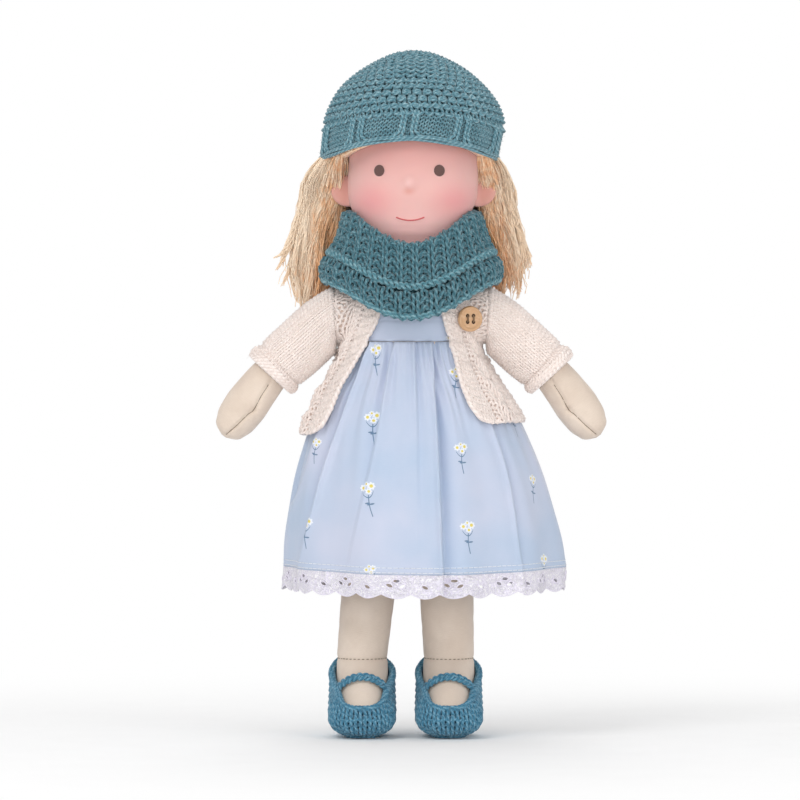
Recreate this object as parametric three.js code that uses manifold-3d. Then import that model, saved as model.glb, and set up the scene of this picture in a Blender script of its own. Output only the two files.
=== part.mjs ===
// A soft cloth doll about a foot tall: a stuffed body with sewn limbs and a wool-filled head, dressed in a
// knitted cap and cowl, a knitted cardigan, a gathered cotton dress with a lace hem, and crocheted shoes.
// Millimetres, +Z up. The doll stands on its soles at z = 0 and faces -Y; its own left side is at +X.
import * as THREE from "three";
import { mergeVertices } from "three/addons/utils/BufferGeometryUtils.js";
import Module from "manifold-3d";

const wasm = await Module();
wasm.setup();

// Gaps and cutting bodies
const clearance = 0.3;
const overrun = 6;
const deepOverrun = 2 * overrun;

// Torso: a stuffed bag, closed flat over the hips and open at the neck
const hipHeight = 120;
const hipRadius = 12.5;
const torsoTop = 204;
const torsoHalfWidth = 27;
const torsoHalfDepth = 19.5;
const skinWall = 1.4;
const shoulderHeight = 187;
const shoulderReach = 34;
const shoulderStubRadius = 9;
const torsoBottom = hipHeight + hipRadius + clearance;
// Each row: height from hips to neck, half width, half depth
const torsoShares = [
  [0, 0.68, 0.5],
  [0.04, 0.83, 0.7],
  [0.12, 0.94, 0.9],
  [0.27, 1, 1],
  [0.45, 0.98, 1],
  [0.63, 1, 1],
  [0.76, 1, 0.95],
  [0.86, 0.91, 0.87],
  [0.94, 0.72, 0.8],
  [1, 0.56, 0.74],
];

// Head: a skin tied over a wound wool ball whose stem goes down into the torso
const chinHeight = 219.8;
const crownHeight = 287.8;
const headHalfWidth = 29;
const headHalfDepth = 28;
const headCentreX = 1;
const neckRadius = 12;
const neckBottom = 197;
const stemBottom = 190;
const headWall = 1.2;
// Each row: height from chin to crown, half width, half depth
const headShares = [
  [0, 0.5, 0.53],
  [0.035, 0.65, 0.68],
  [0.09, 0.78, 0.8],
  [0.18, 0.9, 0.92],
  [0.28, 0.98, 0.99],
  [0.38, 1, 1],
  [0.48, 0.992, 0.985],
  [0.6, 0.985, 0.985],
  [0.71, 0.92, 0.93],
  [0.82, 0.77, 0.79],
  [0.92, 0.54, 0.56],
  [0.975, 0.3, 0.31],
  [1, 0.08, 0.08],
];
const noseX = -1;
const noseHeight = 244.6;
const noseRadius = 3.4;
const noseReachShare = 0.55;
const eyeHeight = 251;
const eyeRadius = 2.55;
const eyeThickness = 0.9;
const eyeXs = { left: 12.3, right: -14.1 };
const mouthHeight = 229.6;
const mouthFall = 1.2;
const mouthHalfWidth = 6;
const mouthX = -0.5;
const threadRadius = 0.4;
const tieHeight = 210;
const tieRadius = 0.6;
const earHeight = 242.5;
const earHalfHeight = 7.5;
const earHalfDepth = 2.6;
const earReach = 7.6;
const earY = 3;

// Hair: a cap of it under the hat, and loose lengths at the sides and back
const hairSideThickness = 5.6;
const hairFrontThickness = 0.9;
const hairBackThickness = 5.4;
const hairCrownThickness = 2.4;
const lockBottomHeights = { left: 196, right: 189 };
const lockTopX = 34.5;
const lockTopY = 11.5;
const lockBowX = 47;
const lockEndXs = { left: 44, right: 47 };
const lockEndY = 17;
const lockHalfWidth = 8;
const lockHalfDepth = 5;
const backHairBottom = 192;
const backHairTopReach = 34;
const backHairMidReach = 42;
const backHairEndReach = 43;
const backHairThickness = 6;
const backHairSpreadShare = 0.3;
const backHairCrownShare = 1.1;
// Each row: way down the lock, size
const lockShares = [
  [0, 0.45],
  [0.2, 0.8],
  [0.45, 1],
  [0.75, 0.9],
  [0.93, 0.55],
  [1, 0.2],
];
// Each row: way down the back hair, thickness
const backHairShares = [
  [0, 0.75],
  [0.3, 1],
  [0.7, 0.9],
  [1, 0.35],
];
const backHairMidShare = 0.35;
const backHairArcShares = [-1, -0.75, -0.5, -0.25, 0, 0.25, 0.5, 0.75, 1];

// Hat: a knitted cap that slouches towards the doll's left
const hatTop = 305;
const hatHalfWidth = 40;
const hatFront = 32.5;
const hatBack = 39;
const hatLean = 2.3;
const brimFront = 261;
const brimSide = 256;
const brimBack = 249;
// Each row: height from brim to top, half width and depth, lean
const hatShares = [
  [0, 0.985, 0],
  [0.12, 1, 0.5],
  [0.28, 0.99, 1],
  [0.45, 0.94, 1],
  [0.6, 0.83, 1],
  [0.75, 0.65, 0.9],
  [0.88, 0.45, 0.6],
  [0.955, 0.27, 0.3],
  [1, 0.07, 0.2],
];

// Dress: a fitted bodice and a gathered skirt with a lace edge
const bodiceTop = 197;
const clothWall = 1;
const waistHeight = 175.3;
const hemHeight = 75;
const hemFrontDrop = 2;
const skirtHalfWidth = 61;
const skirtHalfDepth = 48.5;
const cutWidth = 4 * skirtHalfWidth;
const skirtDrift = 6;
const foldDepth = 2.2;
const foldCount = 10;
const wideFoldCount = 4;
const narrowFoldShare = 0.6;
const laceDepth = 10.5;
const scallopCount = 30;
const scallopDepth = 1.1;
// Each row: height from hem to waist, half width, half depth
const skirtShares = [
  [0, 1, 1],
  [0.12, 0.985, 0.98],
  [0.25, 0.945, 0.94],
  [0.4, 0.89, 0.88],
  [0.55, 0.81, 0.8],
  [0.66, 0.74, 0.74],
  [0.76, 0.655, 0.655],
  [0.85, 0.56, 0.57],
  [0.93, 0.49, 0.49],
  [1, 0.465, 0.455],
];

// Cardigan: a thick knitted shell, open at the front, with a head at each shoulder for the sleeve
const coatWall = 2.2;
const coatTop = 202;
const coatHem = 137.5;
const coatHemSlopeShare = 0.06;
const sleeveHeadRadius = 12.6;
const coatNeckRadius = 19;
const coatSteps = 12;
const armRoomStep = 1.2;
// Each row: height of a point on the front edge from the hem to the collar, in the doll's height
const openingHeights = { hem: 134, low: 145, middle: 156, high: 169, collar: 184, neck: 202 };
const openingLefts = { hem: 31, low: 27.5, middle: 23, high: 19.6, collar: 15.5, neck: 11 };
const openingRights = { hem: 40.5, low: 36.5, middle: 32, high: 24, collar: 16, neck: 11 };
const buttonX = 25.6;
const buttonHeight = 185.1;
const buttonTurnShare = 0.122;
const buttonRadius = 5.7;
const buttonThickness = 2.2;
const buttonDish = 0.6;
const buttonHoleRadius = 0.7;
const buttonHoleSpacing = 1.4;

// Cowl: a knitted tube folded into two tiers round the neck
const cowlSideReach = 40.5;
const cowlFrontReach = 38.5;
const cowlBackReach = 37;
const cowlSideBore = 22;
const cowlFrontBore = 26.5;
const cowlRimSide = 232.5;
const cowlRimFront = 218.5;
const cowlRimBack = 230;
const cowlLowSide = 201.8;
const cowlLowFront = 185.5;
const cowlLowBack = 190;
// Each row: from bore to reach, height from the low edge to the rim
const cowlShares = [
  [0.94, 0],
  [1, 0.09],
  [1, 0.24],
  [0.94, 0.4],
  [0.8, 0.46],
  [0.84, 0.52],
  [0.86, 0.66],
  [0.78, 0.86],
  [0.64, 0.98],
  [0.5, 1],
  [0.38, 0.93],
  [0.2, 0.7],
  [0.06, 0.4],
  [0, 0.2],
  [0.12, 0.13],
  [0.55, -0.06],
];

// Arms and sleeves, drawn for the doll's left side and mirrored for its right
const cuffX = 64;
const cuffHeight = 159;
const handTipX = 83.4;
const handTipHeight = 133;
const armRadius = 9.2;
const palmHalfWidth = 10;
const palmHalfDepth = 8.2;
const sleeveEndShare = 0.64;
const thumbShare = 0.85;
const thumbHalfLength = 7.5;
const thumbRadius = 4.4;
// Each row: way along the arm, half width, half depth
const armShares = [
  [0, 0.92, 0.92],
  [0.2, 0.97, 0.97],
  [0.45, 0.98, 0.98],
  [0.6, 0.94, 0.96],
  [0.75, 1.04, 0.92],
  [0.86, 1.06, 0.88],
  [0.94, 0.86, 0.72],
  [0.985, 0.5, 0.42],
  [1, 0.14, 0.12],
];
// Each row: way along the sleeve, outer radius
const sleeveShares = [
  [0, 1],
  [0.2, 1],
  [0.45, 1.01],
  [0.7, 1],
  [0.88, 0.97],
  [1, 0.93],
];

// Legs: straight tubes with a rounded top about the hip axis, and a foot turned forward
const legTopX = 13.7;
const legHalfWidth = 12.2;
const legHalfDepth = 12.5;
const ankleXs = { left: 16.7, right: -21.8 };
const ankleHeight = 36;
const footLength = 31.5;
const footHalfWidth = 11.8;
const soleShare = 0.062;
// Each row: height from ankle to hip axis, half width, half depth
const legShares = [
  [0.06, 0.93, 0.97],
  [0.2, 0.96, 0.98],
  [0.45, 1, 1],
  [0.75, 1.02, 1.03],
  [1, 1, 1],
];
// Each row: angle of the rounded top, and half width there
const legTopShares = [
  [0.3, 0.98],
  [0.58, 0.9],
  [0.82, 0.72],
  [0.97, 0.4],
];
// Each row: instep y and z, sole y and z, half width; y over the foot's length, z over the ankle's height
const footShares = [
  [-0.375, 1, 0.385, 1, 0.95],
  [-0.43, 0.89, 0.41, 0.7, 0.965],
  [-0.54, 0.78, 0.405, 0.32, 0.98],
  [-0.665, 0.65, 0.31, 0.08, 1],
  [-0.79, 0.515, -0.09, soleShare, 1],
  [-0.9, 0.4, -0.47, soleShare, 0.98],
  [-0.985, 0.29, -0.79, 0.085, 0.84],
  [-1.01, 0.22, -0.94, 0.13, 0.5],
];

// Shoes: crocheted, cut away over the instep, with a strap across
const shoeWall = 2.4;
const shoeEase = 0.5;
const shoeHeelHeight = 35;
const shoeHeelY = 15;
const vampHeight = 13.2;
const vampY = -30;
const strapWidth = 4.2;
const strapY = -19;
const strapHeight = 25.8;
const strapTiltShare = 0.25;

// Colours
const skinColour = 0xf0c4b0;
const cottonColour = 0xe0d0b8;
const woolColour = 0xe8e0d0;
const knitColour = 0x3f7a82;
const coatColour = 0xf0e8da;
const dressColour = 0xbdd2e8;
const laceColour = 0xf5f3f6;
const hairColour = 0xe8c088;
const shoeColour = 0x3d86a0;
const eyeColour = 0x4a3028;
const mouthColour = 0xc05048;
const buttonColour = 0xd8a058;

const full = 2 * Math.PI;
const threadSides = 6;
const ballSides = 12;
const ballRings = 8;
const lockSides = 14;
const mouldSides = 16;
const limbSides = 18;
const bodySides = 24;
const skirtSides = 60;
const cowlSides = 36;
const sides = { left: 1, right: -1 };

// A value between the rows of a table, looked up by the table's first column
function between(rows, key, column) {
  const last = rows.length - 1;
  if (key <= rows[0][0]) return rows[0][column];
  if (key >= rows[last][0]) return rows[last][column];
  const index = rows.findIndex((row) => row[0] > key);
  const [low, high] = [rows[index - 1], rows[index]];
  return THREE.MathUtils.mapLinear(key, low[0], high[0], low[column], high[column]);
}

// More rows, on a smooth curve through the ones given
function smoothed(rows, parts) {
  const result = [];
  for (let i = 0; i + 1 < rows.length; i++) {
    const corners = [-1, 0, 1, 2].map((k) => rows[THREE.MathUtils.clamp(i + k, 0, rows.length - 1)]);
    for (let step = 0; step < parts; step++) {
      const t = step / parts;
      result.push(corners[0].map((_, c) => throughFour(corners.map((row) => row[c]), t)));
    }
  }
  return [...result, rows[rows.length - 1]];
}

// A curve through the middle two of four values
function throughFour([a, b, c, d], t) {
  const [start, end] = [(c - a) / 2, (d - b) / 2];
  const square = t * t;
  const cubic = 2 * b - 2 * c + start + end;
  return cubic * square * t + (3 * c - 3 * b - 2 * start - end) * square + start * t + b;
}

function turned(count, place) {
  return Array.from({ length: count }, (_, i) => place((full * i) / count));
}

// A closed body from rings of points. Each end is closed by a fan or, where the ring is a thin crescent, by a
// strip across it; in a loop the last ring meets the first
function bodyOf(rings, ends = "fan") {
  const count = rings[0].length;
  const points = rings.flat();
  const faces = [];
  const steps = ends === "loop" ? rings.length : rings.length - 1;
  for (let r = 0; r < steps; r++) {
    const next = (r + 1) % rings.length;
    for (let i = 0; i < count; i++) {
      const j = (i + 1) % count;
      faces.push(r * count + i, r * count + j, next * count + j);
      faces.push(r * count + i, next * count + j, next * count + i);
    }
  }
  for (const r of ends === "loop" ? [] : [0, rings.length - 1]) {
    const add = (corners) => faces.push(...(r === 0 ? corners.reverse() : corners));
    if (ends === "strip") {
      for (let i = 0; i + 1 < count / 2; i++) {
        const [near, far] = [r * count + i, r * count + count - 1 - i];
        add([near, near + 1, far - 1]);
        add([near, far - 1, far]);
      }
    } else {
      const centre = rings[r].reduce((sum, p) => sum.add(p), new THREE.Vector3()).divideScalar(count);
      const hub = points.push(centre) - 1;
      for (let i = 0; i < count; i++) add([hub, r * count + i, r * count + ((i + 1) % count)]);
    }
  }
  const geometry = new THREE.BufferGeometry().setFromPoints(points);
  geometry.setIndex(faces);
  return facingOut(geometry);
}

// Turns every face round when the body is inside out
function facingOut(geometry) {
  const position = geometry.getAttribute("position");
  const index = geometry.getIndex().array;
  const corners = [new THREE.Vector3(), new THREE.Vector3(), new THREE.Vector3()];
  let volume = 0;
  for (let i = 0; i < index.length; i += 3) {
    corners.forEach((corner, k) => corner.fromBufferAttribute(position, index[i + k]));
    volume += corners[0].dot(corners[1].clone().cross(corners[2]));
  }
  if (volume < 0) {
    for (let i = 0; i < index.length; i += 3) [index[i], index[i + 1]] = [index[i + 1], index[i]];
  }
  return geometry;
}

function solid(geometry) {
  const bare = geometry.clone();
  bare.deleteAttribute("normal");
  bare.deleteAttribute("uv");
  const merged = facingOut(mergeVertices(bare));
  const mesh = new wasm.Mesh({
    numProp: 3,
    vertProperties: new Float32Array(merged.getAttribute("position").array),
    triVerts: new Uint32Array(merged.getIndex().array),
  });
  return new wasm.Manifold(mesh);
}

function shapeOf(manifold) {
  const mesh = manifold.getMesh();
  const geometry = new THREE.BufferGeometry();
  geometry.setAttribute("position", new THREE.BufferAttribute(new Float32Array(mesh.vertProperties), 3));
  geometry.setIndex(new THREE.BufferAttribute(new Uint32Array(mesh.triVerts), 1));
  return geometry;
}

const doll = new THREE.Group();

function addPart(name, shape, color, roughness = 0.9) {
  const geometry = shape.isBufferGeometry ? shape : shapeOf(shape);
  geometry.computeVertexNormals();
  const mesh = new THREE.Mesh(geometry, new THREE.MeshStandardMaterial({ color, roughness, metalness: 0 }));
  mesh.name = name;
  doll.add(mesh);
}

// A block wider than the doll, centred on a place
function block(x, y, z) {
  return solid(new THREE.BoxGeometry(cutWidth, cutWidth, cutWidth).translate(x, y, z));
}

// A round bar along X, centred on the doll
function crossBar(radius, length, height, count = mouldSides) {
  const bar = new THREE.CylinderGeometry(radius, radius, length, count).rotateZ(Math.PI / 2);
  return solid(bar.translate(0, 0, height));
}

function upright(radius, bottom, top, count = mouldSides) {
  const post = new THREE.CylinderGeometry(radius, radius, top - bottom, count).rotateX(Math.PI / 2);
  return solid(post.translate(0, 0, (bottom + top) / 2));
}

const stubEnd = shoulderReach - clearance / 2;

// Torso
const torsoRows = smoothed(torsoShares, 1).map(([share, width, depth]) => [
  THREE.MathUtils.lerp(torsoBottom, torsoTop, share),
  width * torsoHalfWidth,
  depth * torsoHalfDepth,
]);

function torsoForm(grow, low, high, count) {
  const inside = torsoRows.filter(([height]) => height > low && height < high);
  const ends = [low, high].map((key) => [key, between(torsoRows, key, 1), between(torsoRows, key, 2)]);
  return solid(
    bodyOf(
      [ends[0], ...inside, ends[1]].map(([height, width, depth]) =>
        turned(count, (a) =>
          new THREE.Vector3((width + grow) * Math.cos(a), (depth + grow) * Math.sin(a), height),
        ),
      ),
    ),
  );
}

const stuffingTop = stemBottom - clearance;
const torsoCavity = torsoForm(-skinWall, torsoBottom + skinWall, stuffingTop + clearance, mouldSides).add(
  upright(neckRadius + clearance, stuffingTop, torsoTop + overrun),
);
const torsoSkin = torsoForm(0, torsoBottom, torsoTop, bodySides)
  .add(crossBar(shoulderStubRadius, 2 * stubEnd, shoulderHeight))
  .subtract(torsoCavity);
addPart("torso_skin", torsoSkin, cottonColour);
addPart(
  "torso_stuffing",
  torsoForm(-skinWall - clearance, torsoBottom + skinWall + clearance, stuffingTop, mouldSides),
  woolColour,
);

// Head
const headRowsOf = (parts) =>
  smoothed(headShares, parts).map(([share, width, depth]) => [
    THREE.MathUtils.lerp(chinHeight, crownHeight, share),
    width * headHalfWidth,
    depth * headHalfDepth,
    headCentreX * Math.min(1, 2 * share),
  ]);
const headRows = headRowsOf(2);

// The head and neck, grown or shrunk all round; the neck's end is cut flat
function headForm(grow, bottom, count, parts = 2) {
  const rows = [[tieHeight, neckRadius, neckRadius, 0], ...headRowsOf(parts)];
  const squeeze = (crownHeight + grow - tieHeight) / (crownHeight - tieHeight);
  const ringAt = (height, width, depth, x) =>
    turned(count, (a) => {
      const across = Math.max(width + grow, width / 2);
      const back = Math.max(depth + grow, depth / 2);
      return new THREE.Vector3(x + across * Math.cos(a), back * Math.sin(a), height);
    });
  const head = rows.map(([height, width, depth, x]) =>
    ringAt(tieHeight + (height - tieHeight) * squeeze, width, depth, x),
  );
  return solid(bodyOf([ringAt(bottom, neckRadius, neckRadius, 0), ...head]));
}

// Where the face's surface is in front of a place, and which way it faces
function faceAt(x, height) {
  const [width, depth] = [between(headRows, height, 1), between(headRows, height, 2)];
  const y = -depth * Math.sqrt(Math.max(0, 1 - ((x - headCentreX) / width) ** 2));
  const facing = new THREE.Vector3((x - headCentreX) / width ** 2, y / depth ** 2, 0).normalize();
  return { place: new THREE.Vector3(x, y, height), facing };
}

const nose = new THREE.SphereGeometry(noseRadius, ballSides, ballRings);
const noseSeat = faceAt(noseX, noseHeight).place;
nose.translate(noseSeat.x, noseSeat.y + noseRadius * (1 - noseReachShare), noseSeat.z);
const headCavity = headForm(-headWall, neckBottom - overrun, mouldSides, 1);
addPart(
  "head_skin",
  headForm(0, neckBottom, bodySides).add(solid(nose)).subtract(headCavity),
  skinColour,
);
addPart("head_core", headForm(-headWall - clearance, stemBottom, mouldSides, 1), woolColour);
const tie = new THREE.TorusGeometry(neckRadius + clearance + tieRadius, tieRadius, threadSides, mouldSides);
addPart("neck_tie", tie.translate(0, 0, tieHeight), woolColour);

for (const [side, way] of Object.entries(sides)) {
  const eyeProfile = [
    new THREE.Vector2(0, 0),
    new THREE.Vector2(eyeRadius, 0),
    new THREE.Vector2(eyeRadius, eyeThickness / 3),
    new THREE.Vector2((eyeRadius * 2) / 3, eyeThickness),
    new THREE.Vector2(0, eyeThickness),
  ];
  const { place, facing } = faceAt(eyeXs[side], eyeHeight);
  const eye = new THREE.LatheGeometry(eyeProfile, mouldSides);
  eye.applyQuaternion(new THREE.Quaternion().setFromUnitVectors(new THREE.Vector3(0, 1, 0), facing));
  eye.translate(...place.addScaledVector(facing, clearance));
  addPart(`eye_${side}`, solid(eye), eyeColour, 0.6);

  const earSide = between(headRows, earHeight, 1);
  const ear = new THREE.SphereGeometry(1, ballSides, ballRings).scale(earReach, earHalfDepth, earHalfHeight);
  ear.translate(headCentreX + way * earSide, earY, earHeight);
  addPart(`ear_${side}`, solid(ear).subtract(headForm(clearance, neckBottom, bodySides)), skinColour);
}

const mouthLine = new THREE.CatmullRomCurve3(
  [-1, -0.5, 0, 0.5, 1].map((share) => {
    const height = mouthHeight - mouthFall * (1 - share * share);
    const { place, facing } = faceAt(mouthX + share * mouthHalfWidth, height);
    return place.addScaledVector(facing, threadRadius + clearance);
  }),
);
const threadOutline = new THREE.Shape(
  turned(threadSides, (a) => new THREE.Vector2(threadRadius * Math.cos(a), threadRadius * Math.sin(a))),
);
addPart(
  "mouth_stitch",
  solid(
    new THREE.ExtrudeGeometry(threadOutline, { extrudePath: mouthLine, steps: 8, bevelEnabled: false }),
  ),
  mouthColour,
);

// Hat and the hair under it
const hatDepth = (hatFront + hatBack) / 2;
const hatY = (hatBack - hatFront) / 2;
const brimAt = (a) => {
  const back = Math.sin(a);
  return brimSide + (back < 0 ? brimFront - brimSide : brimBack - brimSide) * back * back;
};
const capDepth = headHalfDepth + (hairFrontThickness + hairBackThickness) / 2;
const capY = (hairBackThickness - hairFrontThickness) / 2;
const capTop = crownHeight + hairCrownThickness;

// The cap of hair, grown all round and drawn out below the brim by a drop
function capForm(grow, drop) {
  const rows = headRowsOf(1).filter(([height]) => height > brimSide - overrun);
  const start = rows[0][0];
  const ringAt = ([height, width, depth], fall) =>
    turned(bodySides, (a) => {
      const share = (height - start) / (crownHeight - start);
      return new THREE.Vector3(
        headCentreX + ((width * (headHalfWidth + hairSideThickness)) / headHalfWidth + grow) * Math.cos(a),
        capY + ((depth * capDepth) / headHalfDepth + grow) * Math.sin(a),
        THREE.MathUtils.lerp(brimAt(a), capTop, share) + grow * share - fall,
      );
    });
  const rings = rows.map((row) => ringAt(row, 0));
  return solid(bodyOf(drop > 0 ? [ringAt(rows[0], drop), ...rings] : rings));
}

const hairCap = capForm(0, 0).subtract(headForm(clearance, neckBottom, bodySides));
addPart("hair_cap", hairCap, hairColour);
const hatForm = bodyOf(
  smoothed(hatShares, 2).map(([share, size, lean]) =>
    turned(bodySides, (a) => {
      const bottom = brimAt(a);
      return new THREE.Vector3(
        hatLean * lean + size * hatHalfWidth * Math.cos(a),
        hatY + size * hatDepth * Math.sin(a),
        bottom + (hatTop - bottom) * share,
      );
    }),
  ),
);
addPart("hat", solid(hatForm).subtract(capForm(clearance, overrun)), knitColour);

// Loose hair: a lock behind each ear, and one sheet of it down the back
const lockTopHeight = brimAt(Math.atan2(lockTopY + lockHalfDepth, lockTopX)) - clearance;
const backHairTop = brimBack - clearance;
for (const [side, way] of Object.entries(sides)) {
  const bottom = lockBottomHeights[side];
  const line = new THREE.CatmullRomCurve3([
    new THREE.Vector3(way * lockTopX, lockTopY, lockTopHeight),
    new THREE.Vector3(way * lockBowX, lockEndY, (lockTopHeight + bottom) / 2),
    new THREE.Vector3(way * lockEndXs[side], lockEndY, bottom),
  ]);
  const rings = smoothed(lockShares, 2).map(([share, size]) => {
    const centre = line.getPoint(share);
    return turned(lockSides, (a) =>
      new THREE.Vector3(
        centre.x + size * lockHalfWidth * Math.cos(a),
        centre.y + size * lockHalfDepth * Math.sin(a),
        centre.z,
      ),
    );
  });
  addPart(`hair_${side}`, bodyOf(rings), hairColour);
}

const backHairReaches = [
  [0, backHairTopReach],
  [backHairMidShare, backHairMidReach],
  [1, backHairEndReach],
];
const backHairRings = smoothed(backHairShares, 2).map(([share, size]) => {
  const reach = between(backHairReaches, share, 1);
  const height = THREE.MathUtils.lerp(backHairTop, backHairBottom, share);
  const spread = (arc) => (Math.PI / 2) * (1 + arc * 2 * backHairSpreadShare);
  const thickness = size * backHairThickness;
  const half = backHairArcShares.map((arc) => (thickness * (backHairCrownShare - arc * arc)) / 2);
  const outer = backHairArcShares.map((arc, i) => [spread(arc), reach + half[i]]);
  const inner = backHairArcShares.map((arc, i) => [spread(arc), reach - half[i]]).reverse();
  return [...outer, ...inner].map(([a, r]) => new THREE.Vector3(r * Math.cos(a), r * Math.sin(a), height));
});
addPart("hair_back", bodyOf(backHairRings, "strip"), hairColour);

// Dress
const shoulderHoles = crossBar(shoulderStubRadius + clearance, 2 * (shoulderReach + overrun), shoulderHeight);
const bodice = torsoForm(clearance + clothWall, waistHeight, bodiceTop, bodySides)
  .subtract(torsoForm(clearance, waistHeight - overrun, bodiceTop + overrun, bodySides))
  .subtract(shoulderHoles);
addPart("bodice", bodice, dressColour);

const skirtTop = waistHeight - clearance;
const skirtRows = smoothed(skirtShares, 1).map(([share, width, depth]) => [
  share,
  width * skirtHalfWidth,
  depth * skirtHalfDepth,
]);
const foldAt = (a, share) =>
  foldDepth *
  (1 - share) *
  THREE.MathUtils.lerp(Math.cos(wideFoldCount * a), Math.cos(foldCount * a + 1), narrowFoldShare);
const hemAt = (a) => hemHeight - hemFrontDrop * Math.max(0, -Math.sin(a)) ** 2;

function skirtRing(share, width, depth, grow, heightAt) {
  return turned(skirtSides, (a) => {
    const fold = foldAt(a, share) + grow;
    return new THREE.Vector3(
      skirtDrift * (1 - share) + (width + fold) * Math.cos(a),
      (depth + fold) * Math.sin(a),
      heightAt(a),
    );
  });
}

const skirtHeight = (share) => (a) => THREE.MathUtils.lerp(hemAt(a), skirtTop, share);
const [skirtOuter, skirtInner] = [0, -clothWall].map((grow) =>
  skirtRows.map(([share, width, depth]) => skirtRing(share, width, depth, grow, skirtHeight(share))),
);
addPart("skirt", bodyOf([...skirtOuter, ...skirtInner.reverse()], "loop"), dressColour);

const laceHeight = (share) => (a) => {
  const scallop = scallopDepth * Math.abs(Math.cos((scallopCount * a) / 2)) * (1 - share);
  return hemAt(a) - clearance - laceDepth * (1 - share) + scallop;
};
const laceRing = (share, grow) => skirtRing(0, skirtHalfWidth, skirtHalfDepth, grow, laceHeight(share));
addPart(
  "lace_trim",
  bodyOf([laceRing(1, 0), laceRing(0, 0), laceRing(0, -clothWall), laceRing(1, -clothWall)], "loop"),
  laceColour,
);

// Arms and sleeves
const rootX = shoulderReach + clearance / 2;
const armLine = new THREE.CatmullRomCurve3([
  new THREE.Vector3(rootX, 0, shoulderHeight),
  new THREE.Vector3((rootX + cuffX) / 2, 0, (shoulderHeight + cuffHeight) / 2),
  new THREE.Vector3(cuffX, 0, cuffHeight),
  new THREE.Vector3(handTipX, 0, handTipHeight),
]);

// A ring square to the arm; near the shoulder it turns until it lies flat against the torso's side
function armRing(way, share, halfWidth, halfDepth, count) {
  const centre = armLine.getPoint(share);
  const along = armLine.getTangent(share);
  const lean = Math.min(-along.z, Math.max(0, (centre.x - rootX) / (halfWidth + clearance)));
  const rise = Math.sqrt(1 - lean * lean);
  return turned(count, (a) =>
    new THREE.Vector3(
      way * (centre.x + halfWidth * Math.cos(a) * lean),
      halfDepth * Math.sin(a),
      centre.z + halfWidth * Math.cos(a) * rise,
    ),
  );
}

const armRows = smoothed(armShares, 2);
const sleeveRows = smoothed(sleeveShares, 1);
const armWidth = (share) => armRadius * between(armRows, share, 1);
const armDepth = (share) => armRadius * between(armRows, share, 2);
const sleeveOuter = (way) =>
  sleeveRows.map(([share, size]) =>
    armRing(way, share * sleeveEndShare, sleeveHeadRadius * size, sleeveHeadRadius * size, limbSides),
  );
for (const [side, way] of Object.entries(sides)) {
  const skin = armRows.map(([share]) => armRing(way, share, armWidth(share), armDepth(share), limbSides));
  const thumb = new THREE.SphereGeometry(thumbRadius, ballSides, ballRings);
  thumb.scale(1, 1, thumbHalfLength / thumbRadius);
  const thumbPlace = armLine.getPoint(thumbShare);
  thumb.rotateY(Math.atan2(handTipX - cuffX, handTipHeight - cuffHeight) + Math.PI);
  thumb.translate(thumbPlace.x - palmHalfWidth / 2, -thumbRadius / 2, thumbPlace.z - palmHalfDepth / 2);
  if (way < 0) thumb.scale(-1, 1, 1);
  addPart(`arm_${side}`, solid(bodyOf(skin)).add(solid(thumb)), cottonColour);
  const bore = armRows.map(([share]) =>
    armRing(way, share, armWidth(share) + clearance, armDepth(share) + clearance, limbSides),
  );
  const mouth = bore[0].map((point) => point.clone().setX(point.x - way * overrun));
  const sleeve = solid(bodyOf(sleeveOuter(way))).subtract(solid(bodyOf([mouth, ...bore])));
  addPart(`sleeve_${side}`, sleeve, coatColour);
}

// Cardigan
const coatInnerRows = [];
for (let step = 0; step <= coatSteps; step++) {
  const height = THREE.MathUtils.lerp(coatHem - deepOverrun, coatTop + overrun, step / coatSteps);
  const skirtShare = (height - hemHeight) / (skirtTop - hemHeight);
  const worn = clothWall + 2 * clearance;
  const onSkirt = height < waistHeight;
  const folds = foldDepth * (1 - skirtShare) + 2 * clearance;
  const width = onSkirt ? between(skirtRows, skirtShare, 1) + folds : between(torsoRows, height, 1) + worn;
  const depth = onSkirt ? between(skirtRows, skirtShare, 2) + folds : between(torsoRows, height, 2) + worn;
  const x = onSkirt ? skirtDrift * (1 - skirtShare) : 0;
  coatInnerRows.push([height, width, depth, x]);
}

function coatForm(grow) {
  return solid(
    bodyOf(
      coatInnerRows.map(([height, width, depth, x]) =>
        turned(bodySides, (a) =>
          new THREE.Vector3(x + (width + grow) * Math.cos(a), (depth + grow) * Math.sin(a), height),
        ),
      ),
    ),
  );
}

// The room that a sleeve sweeps as the arm turns about the shoulder's axis
function armRoom(way) {
  const swept = new Map();
  for (const point of sleeveOuter(1).flat()) {
    const slice = Math.round((point.x - rootX) / armRoomStep);
    const reach = Math.hypot(point.y, point.z - shoulderHeight);
    swept.set(slice, Math.max(swept.get(slice) ?? 0, reach));
  }
  const slices = [...swept.keys()].sort((a, b) => a - b);
  const profile = [new THREE.Vector2(0, shoulderReach - clearance / 2)];
  let widest = 0;
  for (const slice of slices) {
    widest = Math.max(widest, swept.get(slice) + 2 * clearance);
    profile.push(new THREE.Vector2(widest, rootX + (slice - 1) * armRoomStep));
  }
  profile[1].y = shoulderReach - clearance / 2;
  profile.push(new THREE.Vector2(0, cuffX + overrun));
  const room = new THREE.LatheGeometry(profile, bodySides).rotateZ(-Math.PI / 2);
  room.translate(0, 0, shoulderHeight);
  return way < 0 ? solid(room.rotateZ(Math.PI)) : solid(room);
}

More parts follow.
